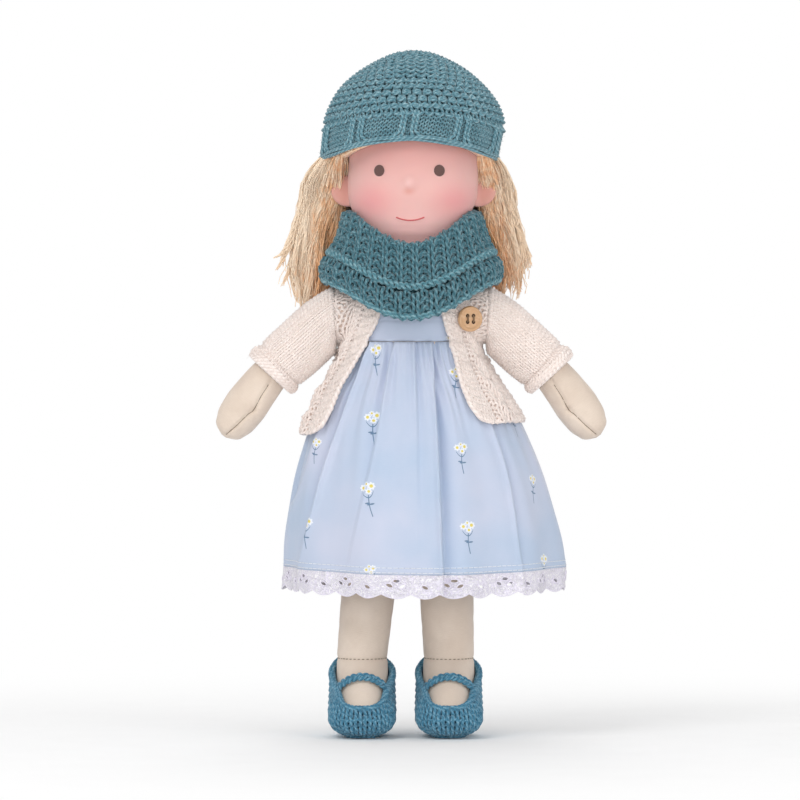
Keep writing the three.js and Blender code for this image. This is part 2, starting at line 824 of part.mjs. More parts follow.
const opening = new THREE.Shape();
const openingKeys = Object.keys(openingHeights);
opening.moveTo(openingLefts.hem, coatHem - deepOverrun);
for (const key of openingKeys) opening.lineTo(openingLefts[key], openingHeights[key]);
opening.lineTo(openingLefts.neck, coatTop + deepOverrun);
opening.lineTo(-openingRights.neck, coatTop + deepOverrun);
for (const key of openingKeys.reverse()) opening.lineTo(-openingRights[key], openingHeights[key]);
opening.lineTo(-openingRights.hem, coatHem - deepOverrun);
const openingReach = skirtHalfDepth + overrun;
const openingBody = new THREE.ExtrudeGeometry(opening, { depth: openingReach, bevelEnabled: false });
openingBody.rotateX(Math.PI / 2);

const hemCut = new THREE.BoxGeometry(cutWidth, cutWidth, cutWidth).translate(0, 0, -cutWidth / 2);
hemCut.rotateY(-Math.atan(coatHemSlopeShare)).translate(0, 0, coatHem);
const coat = coatForm(coatWall)
  .add(crossBar(sleeveHeadRadius, 2 * stubEnd, shoulderHeight, bodySides))
  .subtract(coatForm(0))
  .subtract(shoulderHoles)
  .subtract(armRoom(1))
  .subtract(armRoom(-1))
  .subtract(solid(openingBody))
  .subtract(solid(hemCut))
  .subtract(upright(coatNeckRadius, shoulderHeight, coatTop + deepOverrun))
  .subtract(block(0, 0, coatTop + cutWidth / 2));
addPart("cardigan", coat, coatColour);

// Button: turned from wood, with a dished face and four holes
const buttonProfile = [
  new THREE.Vector2(0, 0),
  new THREE.Vector2(buttonRadius - buttonDish, 0),
  new THREE.Vector2(buttonRadius, buttonDish),
  new THREE.Vector2(buttonRadius, buttonThickness - buttonDish),
  new THREE.Vector2(buttonRadius - buttonDish, buttonThickness),
  new THREE.Vector2(buttonRadius - 2 * buttonDish, buttonThickness),
  new THREE.Vector2(buttonRadius - 3 * buttonDish, buttonThickness - buttonDish),
  new THREE.Vector2(0, buttonThickness - buttonDish),
];
let button = solid(new THREE.LatheGeometry(buttonProfile, bodySides));
for (const x of [-1, 1]) {
  for (const z of [-1, 1]) {
    const hole = new THREE.CylinderGeometry(buttonHoleRadius, buttonHoleRadius, overrun, threadSides);
    button = button.subtract(solid(hole.translate(x * buttonHoleSpacing, 0, z * buttonHoleSpacing)));
  }
}
const buttonTurn = buttonTurnShare * Math.PI;
const buttonFacing = new THREE.Vector3(Math.sin(buttonTurn), -Math.cos(buttonTurn), 0);
const coatWidth = between(coatInnerRows, buttonHeight, 1) + coatWall;
const coatDepth = between(coatInnerRows, buttonHeight, 2) + coatWall;
const coatReach = Math.hypot(coatWidth * buttonFacing.x, coatDepth * buttonFacing.y) + clearance;
const buttonY = (coatReach - buttonX * buttonFacing.x) / buttonFacing.y;
const buttonShape = shapeOf(button);
const buttonTilt = new THREE.Quaternion().setFromUnitVectors(new THREE.Vector3(0, 1, 0), buttonFacing);
buttonShape.applyQuaternion(buttonTilt);
addPart("button", buttonShape.translate(buttonX, buttonY, buttonHeight), buttonColour, 0.6);

// Cowl
const cowlMix = (a, side, front, back) => {
  const away = Math.sin(a);
  return side + ((away < 0 ? front : back) - side) * Math.abs(away) ** 3;
};
const cowlRings = cowlShares.map(([out, up]) =>
  turned(cowlSides, (a) => {
    const bore = cowlMix(a, cowlSideBore, cowlFrontBore, cowlFrontBore);
    const reach = cowlMix(a, cowlSideReach, cowlFrontReach, cowlBackReach);
    const low = cowlMix(a, cowlLowSide, cowlLowFront, cowlLowBack);
    const rim = cowlMix(a, cowlRimSide, cowlRimFront, cowlRimBack);
    const radius = THREE.MathUtils.lerp(bore, reach, out);
    return new THREE.Vector3(radius * Math.cos(a), radius * Math.sin(a), THREE.MathUtils.lerp(low, rim, up));
  }),
);
addPart("cowl", bodyOf(cowlRings, "loop"), knitColour);

// Legs, each one piece with its foot
function footRing(x, row, grow, count) {
  const instep = new THREE.Vector2(row[0] * footLength, row[1] * ankleHeight);
  const sole = new THREE.Vector2(row[2] * footLength, row[3] * ankleHeight);
  const rise = (Math.min(1, Math.max(0, row[3] - soleShare) * 2) * Math.PI) / 2;
  instep.addScaledVector(instep.clone().sub(sole).normalize(), grow);
  sole.add(new THREE.Vector2(Math.sin(rise), -Math.cos(rise)).multiplyScalar(grow));
  const middle = instep.clone().add(sole).divideScalar(2);
  const half = sole.clone().sub(middle);
  return turned(count, (a) =>
    new THREE.Vector3(
      x + (row[4] * footHalfWidth + grow) * Math.cos(a),
      middle.x + half.x * Math.sin(a),
      middle.y + half.y * Math.sin(a),
    ),
  );
}

function toeCap(x, grow, count) {
  const row = footShares[footShares.length - 1];
  return footRing(x, row, grow, count).map((point) => point.setY(point.y - grow));
}

for (const [side, way] of Object.entries(sides)) {
  const ankleX = ankleXs[side];
  const legX = (share) => THREE.MathUtils.lerp(ankleX, way * legTopX, share);
  const legRing = (x, height, width, depth) =>
    turned(limbSides, (a) => new THREE.Vector3(x + width * Math.cos(a), depth * Math.sin(a), height));
  const foot = smoothed(footShares, 1).map((row) => footRing(ankleX, row, 0, limbSides));
  const shank = legShares.map(([share, width, depth]) => {
    const height = THREE.MathUtils.lerp(ankleHeight, hipHeight, share);
    return legRing(legX(share), height, width * legHalfWidth, depth * legHalfDepth);
  });
  const top = legTopShares.map(([share, width]) => {
    const turn = (share * Math.PI) / 2;
    const height = hipHeight + hipRadius * Math.sin(turn);
    return legRing(legX(1), height, width * legHalfWidth, hipRadius * Math.cos(turn));
  });
  addPart(`leg_${side}`, bodyOf([...foot.reverse(), ...shank, ...top]), cottonColour);

  const shoeLast = (grow) => {
    const rings = smoothed(footShares, 1).map((row) => footRing(ankleX, row, grow, limbSides));
    const cuff = rings[0].map((point) => point.clone().setZ(point.z + overrun));
    return solid(bodyOf([cuff, ...rings.slice(0, -1), toeCap(ankleX, grow, limbSides)]));
  };
  const slope = Math.atan2(shoeHeelHeight - vampHeight, shoeHeelY - vampY);
  const above = new THREE.BoxGeometry(cutWidth, cutWidth, cutWidth).translate(0, 0, cutWidth / 2);
  above.rotateX(slope).translate(ankleX, vampY, vampHeight);
  const ground = block(ankleX, 0, -cutWidth / 2);
  const hollow = shoeLast(shoeEase);
  const outside = shoeLast(shoeEase + shoeWall).subtract(ground);
  addPart(`shoe_${side}`, outside.subtract(hollow).subtract(solid(above)), shoeColour);

  const lift = new THREE.Vector3(0, -Math.sin(slope), Math.cos(slope)).multiplyScalar(clearance);
  const band = new THREE.BoxGeometry(cutWidth, strapWidth, cutWidth).rotateX(strapTiltShare * Math.PI);
  band.translate(ankleX, strapY, strapHeight);
  const strap = shoeLast(shoeEase + shoeWall)
    .subtract(hollow)
    .intersect(solid(above.clone().translate(lift.x, lift.y, lift.z)))
    .intersect(solid(band));
  addPart(`shoe_strap_${side}`, strap, shoeColour);
}

export default doll;
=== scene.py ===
import math

import bpy
import numpy as np
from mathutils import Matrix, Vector
from mathutils.bvhtree import BVHTree


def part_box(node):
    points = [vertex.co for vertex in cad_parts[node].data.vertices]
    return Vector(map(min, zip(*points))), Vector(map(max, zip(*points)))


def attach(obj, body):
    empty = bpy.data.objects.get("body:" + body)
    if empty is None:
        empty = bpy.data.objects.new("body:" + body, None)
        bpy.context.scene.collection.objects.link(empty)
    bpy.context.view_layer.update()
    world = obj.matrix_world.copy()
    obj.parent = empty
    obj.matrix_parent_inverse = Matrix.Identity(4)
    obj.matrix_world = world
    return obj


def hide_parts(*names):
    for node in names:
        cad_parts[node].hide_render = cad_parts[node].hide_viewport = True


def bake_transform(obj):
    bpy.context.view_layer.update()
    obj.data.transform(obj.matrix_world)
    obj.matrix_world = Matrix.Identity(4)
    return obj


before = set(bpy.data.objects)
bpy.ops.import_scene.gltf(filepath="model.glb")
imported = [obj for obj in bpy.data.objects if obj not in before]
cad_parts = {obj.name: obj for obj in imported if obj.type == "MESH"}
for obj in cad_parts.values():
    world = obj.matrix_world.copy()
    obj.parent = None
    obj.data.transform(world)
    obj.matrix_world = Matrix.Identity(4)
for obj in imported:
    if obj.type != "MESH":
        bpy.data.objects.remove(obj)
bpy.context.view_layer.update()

# The torso is a bag of cream cotton jersey, cut in two panels, sewn round and turned.
# It is stuffed hard with carded wool through the neck, which stays open for the stem of the head.
MM = 0.001
TAU = 2 * math.pi


def through(rows, keys):
    """The later columns of a table, at any keys of its first, on a smooth curve through its rows."""
    table = np.asarray(rows, float)
    keys = np.clip(keys, table[0, 0], table[-1, 0])
    low = np.clip(np.searchsorted(table[:, 0], keys, side="right") - 1, 0, len(table) - 2)
    span = (table[low + 1, 0] - table[low, 0])[..., None]
    t = (keys - table[low, 0])[..., None] / span
    slopes = np.gradient(table[:, 1:], table[:, 0], axis=0)
    start, end = table[low, 1:], table[low + 1, 1:]
    rise = t * t * (3 - 2 * t)
    bend = slopes[low] * (t ** 3 - 2 * t * t + t) + slopes[low + 1] * (t ** 3 - t * t)
    return start + (end - start) * rise + bend * span


def ease(values, low, high):
    """0 before low and 1 after high, turning smoothly between them."""
    share = np.clip((values - low) / (high - low), 0, 1)
    return share * share * (3 - 2 * share)


def around(count):
    """Angles evenly round a circle."""
    return np.arange(count) * TAU / count


def climbed(rings):
    """How far each ring lies up a surface from the first, on average."""
    return np.concatenate([[0], np.cumsum(np.linalg.norm(np.diff(rings, axis=0), axis=2).mean(1))])


def between_rings(count, sides, steps):
    """The faces between rings of places: the ring and the step of each, and its four corners."""
    r, i = (grid.ravel() for grid in np.meshgrid(np.arange(count - 1), np.arange(steps), indexing="ij"))
    low, high, j = r * sides, (r + 1) * sides, (i + 1) % sides
    return r, i, np.stack([low + i, low + j, high + j, high + i], 1)


def place(name, points, faces, cloth=None, material=None):
    """A smooth mesh object from places in millimetres.
    cloth holds the place of each face's corners on the flat cloth."""
    mesh = bpy.data.meshes.new(name)
    faces = [np.asarray(group) for group in faces if len(group)]
    loops = np.concatenate([group.ravel() for group in faces])
    sizes = np.concatenate([np.full(len(group), group.shape[1]) for group in faces])
    mesh.vertices.add(len(points))
    mesh.vertices.foreach_set("co", (np.asarray(points) * MM).astype(np.float32).ravel())
    mesh.loops.add(len(loops))
    mesh.loops.foreach_set("vertex_index", loops.astype(np.int32))
    mesh.polygons.add(len(sizes))
    mesh.polygons.foreach_set("loop_start", (np.cumsum(sizes) - sizes).astype(np.int32))
    mesh.polygons.foreach_set("use_smooth", np.ones(len(sizes), bool))
    mesh.update(calc_edges=True)
    if cloth is not None:
        layer = mesh.uv_layers.new(name="cloth")
        corners = np.concatenate([group.reshape(-1, 2) for group in cloth])
        layer.data.foreach_set("uv", corners.astype(np.float32).ravel())
    obj = bpy.data.objects.new(name, mesh)
    bpy.context.scene.collection.objects.link(obj)
    if material:
        mesh.materials.append(material)
    return obj


def lofted(name, rings, material):
    """A skin over rings of places, closed at both ends by poles. Its flat cloth is in millimetres."""
    rings = np.asarray(rings, float)
    count, sides = rings.shape[:2]
    r, i, quads = between_rings(count, sides, sides)
    across = np.linalg.norm(np.roll(rings, -1, 1) - rings, axis=2).sum(1).mean() / sides
    up = climbed(rings)
    cloth = [np.stack([np.stack([(i + k) * across, up[r + rise]], 1)
                       for k, rise in ((0, 0), (1, 0), (1, 1), (0, 1))], 1)]
    i = np.arange(sides)
    j = (i + 1) % sides
    first, last, top = count * sides, count * sides + 1, (count - 1) * sides
    faces = [quads, np.stack([np.full(sides, first), j, i], 1),
             np.stack([np.full(sides, last), top + i, top + j], 1)]
    for height in (up[0], up[-1]):
        cloth.append(np.stack([np.stack([i * across, np.full(sides, height)], 1)] * 3, 1))
    points = np.concatenate([rings.reshape(-1, 3), [rings[0].mean(0), rings[-1].mean(0)]])
    return place(name, points, faces, cloth, material)


def ovals(heights, widths, depths, sides, centre_x=0, centre_y=0):
    """Level oval rings, one for each height."""
    a = around(sides)
    ones = np.ones_like(a)
    x = np.outer(np.broadcast_to(centre_x, len(heights)), ones) + np.outer(widths, np.cos(a))
    y = np.outer(np.broadcast_to(centre_y, len(heights)), ones) + np.outer(depths, np.sin(a))
    return np.stack([x, y, np.outer(heights, ones)], 2)


def maths(operation):
    """A method of Field that adds a Math node."""
    return lambda field, *others: field.paint.node("Math", {"operation": operation}, field, *others)


class Field:
    """An output of a material's node. Sums written on it become Math nodes."""

    def __init__(self, paint, socket):
        self.paint, self.socket = paint, socket

    __add__ = __radd__ = maths("ADD")
    __mul__ = __rmul__ = maths("MULTIPLY")
    __sub__ = maths("SUBTRACT")
    __truediv__ = maths("DIVIDE")
    __abs__ = maths("ABSOLUTE")
    sine, cosine, root = maths("SINE"), maths("COSINE"), maths("SQRT")
    floor, least = maths("FLOOR"), maths("MINIMUM")

    def __rsub__(self, other):
        return self.paint.node("Math", {"operation": "SUBTRACT"}, other, self)

    def eased(self, low, high):
        """0 before low and 1 after high; with high under low, the other way round."""
        if high < low:
            return 1 - self.eased(high, low)
        return self.paint.node("MapRange", {"interpolation_type": "SMOOTHSTEP"}, self, low, high)


class Paint:
    """A material round one Principled shader. Numbers that hold all over are set on the shader itself."""

    def __init__(self, name, **constants):
        self.material = bpy.data.materials.new(name)
        self.material.use_nodes = True
        self.tree = self.material.node_tree
        self.shader = self.tree.nodes["Principled BSDF"]
        for socket, value in constants.items():
            self.shader.inputs[socket.replace("_", " ")].default_value = value

    def node(self, kind, settings, *values, out=0, **named):
        """A node with its settings made first, then its inputs by place or by name."""
        made = self.tree.nodes.new("ShaderNode" + kind)
        for key, value in settings.items():
            setattr(made, key, value)
        for key, value in [*enumerate(values), *((k.replace("_", " "), v) for k, v in named.items())]:
            if value is None:
                continue
            if isinstance(value, Field):
                self.tree.links.new(value.socket, made.inputs[key])
            else:
                made.inputs[key].default_value = value
        return Field(self, made.outputs[out])

    def place(self):
        return self.node("TexCoord", {}, out="Object")

    def attribute(self, name, out="Fac"):
        return self.node("Attribute", {"attribute_name": name}, out=out)

    def cloth(self):
        return self.node("UVMap", {"uv_map": "cloth"})

    def split(self, vector):
        """The three parts of a vector."""
        parts = self.node("SeparateXYZ", {}, vector).socket.node.outputs
        return [Field(self, part) for part in parts]

    def scaled(self, vector, sizes):
        return self.node("VectorMath", {"operation": "MULTIPLY"}, vector, sizes)

    def woven(self, cloth, pitch, stretch):
        """The crossing threads of a plain weave on the flat cloth's millimetres, and the slubs in them."""
        u, v, _ = self.split(cloth)
        weave = (u * (TAU / pitch)).sine() * (v * (TAU / pitch)).sine()
        return weave, self.noise(self.scaled(cloth, stretch), 1.0, 3.0, 0.6)

    def oval(self, x, y, centre_x, centre_y, wide, tall):
        """How far a place is from the middle of an oval, 1 on its edge."""
        across, up = (x - centre_x) / wide, (y - centre_y) / tall
        return (across * across + up * up).root()

    def noise(self, vector, scale, detail=2.0, roughness=0.5, distortion=0.0):
        return self.node("TexNoise", {}, Vector=vector, Scale=scale, Detail=detail, Roughness=roughness,
                         Distortion=distortion)

    def mix(self, share, first, second):
        unused = [None] * 5
        return self.node("Mix", {"data_type": "RGBA"}, share, *unused, first, second, out=2)

    def finish(self, colour=None, roughness=None, height=None, depth=0.0002, strength=1.0):
        """Joins what varies to the shader; a height in metres of its own goes in as a bump."""
        if height is not None:
            normal = self.node("Bump", {}, Height=height, Distance=depth, Strength=strength)
            self.tree.links.new(normal.socket, self.shader.inputs["Normal"])
        for value, socket in ((colour, "Base Color"), (roughness, "Roughness")):
            if value is not None:
                self.tree.links.new(value.socket, self.shader.inputs[socket])
        return self.material


def ink(code, lift=1.0):
    """The linear colour of a written one."""
    parts = [int(code[k:k + 2], 16) / 255 for k in (1, 3, 5)]
    return [lift * (p / 12.92 if p <= 0.04045 else ((p + 0.055) / 1.055) ** 2.4) for p in parts] + [1.0]


paint = Paint("body cotton", Roughness=0.75, Sheen_Weight=0.25, Sheen_Roughness=0.5, Specular_IOR_Level=0.25)
weave, slubs = paint.woven(paint.cloth(), 0.42, (0.5, 3.2, 1))
blotch = paint.noise(paint.place(), 70.0, 2.0)
# Partly painted shade: the threads' crossings are painted a touch lighter and darker; the slubs and blotches
# are the cotton's own tone
tint = (weave * 0.12 + slubs * 0.5 + blotch * 0.9 - 0.2).eased(0.1, 1.1)
colour = paint.mix(tint, ink("#d2c0b0"), ink("#e9dacb"))
body_cotton = paint.finish(colour, 0.68 + slubs * 0.16, weave * 0.5 + slubs * 0.8, 0.00006, 0.7)

# Each row: height from hips to neck, half width, half depth
TORSO_SHARES = [
    (0, 0.68, 0.5), (0.04, 0.83, 0.7), (0.12, 0.94, 0.9), (0.27, 1, 1), (0.45, 0.98, 1),
    (0.63, 1, 1), (0.76, 1, 0.95), (0.86, 0.91, 0.87), (0.94, 0.72, 0.8), (1, 0.56, 0.74),
]
TORSO_LOW, TORSO_TOP = 132.8, 204.0
TORSO_HALF_WIDTH, TORSO_HALF_DEPTH = 27.0, 19.5
SHOULDER_HEIGHT, SHOULDER_REACH = 187.0, 33.85


def torso_size(heights):
    """Half the torso's width and depth at heights."""
    shares = through(TORSO_SHARES, (np.asarray(heights) - TORSO_LOW) / (TORSO_TOP - TORSO_LOW))
    return shares[..., 0] * TORSO_HALF_WIDTH, shares[..., 1] * TORSO_HALF_DEPTH


heights = np.linspace(TORSO_LOW, TORSO_TOP, 50)
widths, depths = torso_size(heights)
# Round the shoulders the bag reaches out to where the arms are sewn on
stub = ease(np.abs(heights - SHOULDER_HEIGHT), 9.5, 3.0) * (SHOULDER_REACH - widths - 0.3)
torso = lofted("torso_skin_sewn", ovals(heights, widths + stub, depths, 64), body_cotton)
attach(torso, "torso")
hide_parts("torso_skin")

# The torso's filling is sheep's wool, carded and pushed in by hand through the open neck.
# It lies close under the bag's skin and stops below the neck, where the head's stem goes in.
paint = Paint("wool filling", Roughness=0.95, Sheen_Weight=0.4)
fluff = paint.noise(paint.place(), 900.0, 5.0, 0.7, 1.5)
wool = paint.finish(paint.mix(fluff, ink("#d8ceb8"), ink("#f4eddf")), None, fluff, 0.0006)
STUFFING_TOP, SKIN_WALL = 189.7, 1.7
heights = np.linspace(TORSO_LOW + SKIN_WALL, STUFFING_TOP, 36)
widths, depths = torso_size(heights)
stuffing = lofted("torso_stuffing_wool", ovals(heights, widths - SKIN_WALL, depths - SKIN_WALL, 48), wool)
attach(stuffing, "torso")
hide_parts("torso_stuffing")

# Legs: straight tubes of the same cotton with a foot turned forward, stuffed hard and sewn on at the hip.
# A line of small stitches round the ankle keeps the foot turned up, and pulls the cloth in there.
SIDES = {"left": 1, "right": -1}
HIP_HEIGHT, ANKLE_HEIGHT = 120.0, 36.0
LEG_TOP_X = 13.7
ANKLE_XS = {"left": 16.7, "right": -21.8}
LEG_HALF_WIDTH, LEG_HALF_DEPTH, HIP_RADIUS = 12.2, 12.5, 12.5
LEG_SHARES = [(0.06, 0.93, 0.97), (0.2, 0.96, 0.98), (0.45, 1, 1), (0.75, 1.02, 1.03), (1, 1, 1)]
LEG_TOP_SHARES = [(0, 1.0), (0.3, 0.98), (0.58, 0.9), (0.82, 0.72), (0.97, 0.4)]
FOOT_LENGTH, FOOT_HALF_WIDTH = 31.5, 11.8
# Each row: instep y and z, sole y and z, half width; y over the foot's length, z over the ankle's height
FOOT_SHARES = [
    (0, -0.375, 1, 0.385, 1, 0.95), (1, -0.43, 0.89, 0.41, 0.7, 0.965), (2, -0.54, 0.78, 0.405, 0.32, 0.98),
    (3, -0.665, 0.65, 0.31, 0.08, 1), (4, -0.79, 0.515, -0.09, 0.062, 1), (5, -0.9, 0.4, -0.47, 0.062, 0.98),
    (6, -0.985, 0.29, -0.79, 0.085, 0.84), (7, -1.01, 0.22, -0.94, 0.13, 0.5),
]
SEAM_HEIGHT, SEAM_SIDES = 34.2, 72


def bell(values, centre, width):
    """1 at the centre, falling smoothly to nothing on either side."""
    return np.exp(-((values - centre) / width) ** 2)


def foot_rings(ankle_x, keys, grow, sides):
    """Rings across the foot from the ankle, key 0, to the toe, key 7, all grown outwards."""
    rows = through(FOOT_SHARES, keys)
    instep = rows[:, :2] * (FOOT_LENGTH, ANKLE_HEIGHT)
    sole = rows[:, 2:4] * (FOOT_LENGTH, ANKLE_HEIGHT)
    up = (instep - sole) / np.linalg.norm(instep - sole, axis=1)[:, None]
    middle, half = (instep + sole) / 2, (sole - instep) / 2 - up * grow
    a = around(sides)
    x = ankle_x + np.outer(rows[:, 4] * FOOT_HALF_WIDTH + grow, np.cos(a))
    y = middle[:, :1] + half[:, :1] * np.sin(a)
    z = middle[:, 1:] + half[:, 1:] * np.sin(a)
    return np.stack([x, y, z], 2)


def thread_tree():
    """A node tree that sweeps a round thread along every path of edges it is given."""
    tree = bpy.data.node_groups.new("thread along paths", "GeometryNodeTree")
    face = tree.interface
    face.new_socket("Paths", in_out="INPUT", socket_type="NodeSocketGeometry")
    face.new_socket("Radius", in_out="INPUT", socket_type="NodeSocketFloat")
    face.new_socket("Sides", in_out="INPUT", socket_type="NodeSocketInt")
    face.new_socket("Material", in_out="INPUT", socket_type="NodeSocketMaterial")
    face.new_socket("Threads", in_out="OUTPUT", socket_type="NodeSocketGeometry")

    def node(kind, settings=(), **links):
        made = tree.nodes.new(kind)
        for key, value in dict(settings).items():
            setattr(made, key, value)
        for key, value in links.items():
            socket = made.inputs[key.replace("_", " ")]
            if isinstance(value, bpy.types.NodeSocket):
                tree.links.new(value, socket)
            else:
                socket.default_value = value
        return made

    given = node("NodeGroupInput").outputs
    curves = node("GeometryNodeMeshToCurve", Mesh=given["Paths"]).outputs["Curve"]
    width = node("GeometryNodeInputNamedAttribute", {"data_type": "FLOAT"}, Name="width").outputs["Attribute"]
    curves = node("GeometryNodeSetCurveRadius", Curve=curves, Radius=width).outputs["Curve"]
    along = node("GeometryNodeSplineParameter").outputs["Length"]
    curves = node("GeometryNodeStoreNamedAttribute", {"data_type": "FLOAT", "domain": "POINT"},
                  Geometry=curves, Name="along", Value=along).outputs["Geometry"]
    ring = node("GeometryNodeCurvePrimitiveCircle", Resolution=given["Sides"], Radius=given["Radius"])
    ring = ring.outputs["Curve"]
    spot = node("GeometryNodeInputPosition").outputs["Position"]
    unit = node("ShaderNodeVectorMath", {"operation": "NORMALIZE"})
    tree.links.new(spot, unit.inputs[0])
    ring = node("GeometryNodeStoreNamedAttribute", {"data_type": "FLOAT_VECTOR", "domain": "POINT"},
                Geometry=ring, Name="turn", Value=unit.outputs[0]).outputs["Geometry"]
    swept = node("GeometryNodeCurveToMesh", Curve=curves, Profile_Curve=ring, Fill_Caps=True).outputs["Mesh"]
    swept = node("GeometryNodeSetShadeSmooth", Geometry=swept).outputs["Geometry"]
    swept = node("GeometryNodeRealizeInstances", Geometry=swept).outputs["Geometry"]
    swept = node("GeometryNodeSetMaterial", Geometry=swept, Material=given["Material"]).outputs["Geometry"]
    tree.links.new(swept, node("NodeGroupOutput").inputs["Threads"])
    return tree


def threads(name, paths, radius, sides, material, join=()):
    """One mesh of threads along paths of places in millimetres: each is places, or places with widths.
    A path whose last place is its first is closed. The objects in join become part of the mesh."""
    places, widths, edges, start = [], [], [], 0
    for path in paths:
        spots, width = path if isinstance(path, tuple) else (path, 1.0)
        closed = np.allclose(spots[0], spots[-1])
        count = len(spots) - closed
        order = start + np.arange(count)
        edges.append(np.stack([order[:-1], order[1:]], 1))
        if closed:
            edges.append(np.array([[order[-1], order[0]]]))
        places.append(spots[:count])
        widths.append(np.broadcast_to(width, len(spots))[:count])
        start += count
    places, edges = np.concatenate(places) * MM, np.concatenate(edges)
    mesh = bpy.data.meshes.new(name + "_path")
    mesh.vertices.add(len(places))
    mesh.vertices.foreach_set("co", places.astype(np.float32).ravel())
    mesh.edges.add(len(edges))
    mesh.edges.foreach_set("vertices", edges.astype(np.int32).ravel())
    width = mesh.attributes.new("width", "FLOAT", "POINT")
    width.data.foreach_set("value", np.concatenate(widths).astype(np.float32))
    path = bpy.data.objects.new(name + "_path", mesh)
    bpy.context.scene.collection.objects.link(path)
    tree = bpy.data.node_groups.get("thread along paths") or thread_tree()
    made = path.modifiers.new("threads", "NODES")
    made.node_group = tree
    for socket in tree.interface.items_tree:
        value = {"Radius": radius * MM, "Sides": sides, "Material": material}.get(socket.name)
        if socket.in_out == "INPUT" and value is not None:
            made[socket.identifier] = value
    return plain(name, [path, *join])


def plain(name, objects):
    """The objects with their modifiers taken as made, in one mesh."""
    depsgraph = bpy.context.evaluated_depsgraph_get()
    whole = None
    for obj in objects:
        mesh = bpy.data.meshes.new_from_object(obj.evaluated_get(depsgraph), depsgraph=depsgraph)
        made = bpy.data.objects.new(name, mesh)
        bpy.context.scene.collection.objects.link(made)
        bpy.data.objects.remove(obj)
        if whole is None:
            whole = made
        else:
            with bpy.context.temp_override(active_object=whole, selected_editable_objects=[whole, made]):
                bpy.ops.object.join()
    whole.name = name
    return whole


def stitch_paint(name, code):
    """Sewing thread: two plies twisted together. Along the twist it is painted darker in the grooves, as
    shade, and lighter on the plies' crowns, as highlight.
    """
    paint = Paint(name, Roughness=0.8, Sheen_Weight=0.3)
    side, _, _ = paint.split(paint.attribute("turn", "Vector"))
    twist = (paint.attribute("along") * 9000.0 + side * 2.0).sine()
    # Painted shade in the grooves between the plies and painted highlight on their crowns
    colour = paint.mix(twist * 0.3 + 0.5, ink(code, 0.8), ink(code, 1.1))
    return paint.finish(colour, None, twist, 0.00005)


seam_thread = stitch_paint("seam thread", "#8b7b66")
for side, way in SIDES.items():
    ankle_x = ANKLE_XS[side]
    toe = foot_rings(ankle_x, np.linspace(7, 0, 60), 0, SEAM_SIDES)
    tip_middle = toe[0].mean(0)
    tip = [tip_middle + (toe[0] - tip_middle) * size - (0, drop, 0)
           for size, drop in ((0.35, 1.3), (0.72, 0.9))]
    shares = np.linspace(0.06, 1, 70)
    widths, depths = (through(LEG_SHARES, shares) * (LEG_HALF_WIDTH, LEG_HALF_DEPTH)).T
    x = ankle_x + (way * LEG_TOP_X - ankle_x) * shares
    shank = ovals(ANKLE_HEIGHT + (HIP_HEIGHT - ANKLE_HEIGHT) * shares, widths, depths, SEAM_SIDES, x)
    turn = np.linspace(0.05, 0.97, 14) * math.pi / 2
    top_widths = through(LEG_TOP_SHARES, turn * 2 / math.pi)[:, 0] * LEG_HALF_WIDTH
    top = ovals(HIP_HEIGHT + HIP_RADIUS * np.sin(turn), top_widths, HIP_RADIUS * np.cos(turn), SEAM_SIDES,
                way * LEG_TOP_X)
    rings = np.concatenate([tip, toe, shank, top])
    centres = rings.mean(1, keepdims=True)
    a = around(SEAM_SIDES)
    level = rings[..., 2]
    # The cloth is drawn in at the ankle's stitches, and lies in faint creases on the shank
    pull = 0.55 * bell(level, SEAM_HEIGHT, 0.9) * (1 + 0.35 * np.sin(26 * a))
    pull += 0.28 * bell(level, 41.5 + 1.4 * np.sin(a * 2 + way), 1.1) * bell(np.sin(a), -1, 0.9)
    pull += 0.16 * bell(level, 50 + 1.8 * np.cos(a * 3), 1.6)
    pull += 0.12 * bell(level, 62 + 2 * np.sin(3 * a + 2), 2.0)
    outward = rings - centres
    rings = rings - outward / np.linalg.norm(outward, axis=2, keepdims=True) * pull[..., None]
    leg = lofted(f"leg_{side}_sewn", rings, body_cotton)
    seam = rings[np.abs(rings[..., 2].mean(1) - SEAM_HEIGHT).argmin()] * (1, 1, 0) + (0, 0, SEAM_HEIGHT)
    seam = seam + (seam - seam.mean(0)) * 0.012
    stitches = [seam[k:k + 2] for k in range(0, SEAM_SIDES, 2)]
    ankle_stitches = threads(f"ankle_stitches_{side}", stitches, 0.2, 5, seam_thread)
    for piece in (leg, ankle_stitches):
        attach(piece, f"leg_{side}")
    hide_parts(f"leg_{side}")

# Arms: mitten-shaped tubes of the same cotton, sewn to the shoulders so that they swing.
# A seam runs down the front of the hand, and a few stitches draw it in to part off the thumb.
ARM_LINE = [(0, 34.15, 187.0), (1 / 3, 49.075, 173.0), (2 / 3, 64.0, 159.0), (1, 83.4, 133.0)]
ARM_RADIUS = 9.2
ARM_SHARES = [
    (0, 0.92, 0.92), (0.2, 0.97, 0.97), (0.45, 0.98, 0.98), (0.6, 0.9, 0.94), (0.75, 1.0, 0.92),
    (0.86, 1.04, 0.88), (0.94, 0.86, 0.72), (0.985, 0.5, 0.42), (1, 0.14, 0.12),
]
HAND_SEAM = [(0, 61.0, 159.5), (1, 66.2, 151.5), (2, 69.9, 144.8), (3, 72.6, 142.6), (4, 77.5, 137.8),
             (5, 82.2, 133.8)]
THUMB_NOTCH, THUMB_MIDDLE = np.array([70.2, 144.6]), (66.6, 141.6)
ARM_GAP = 0.3


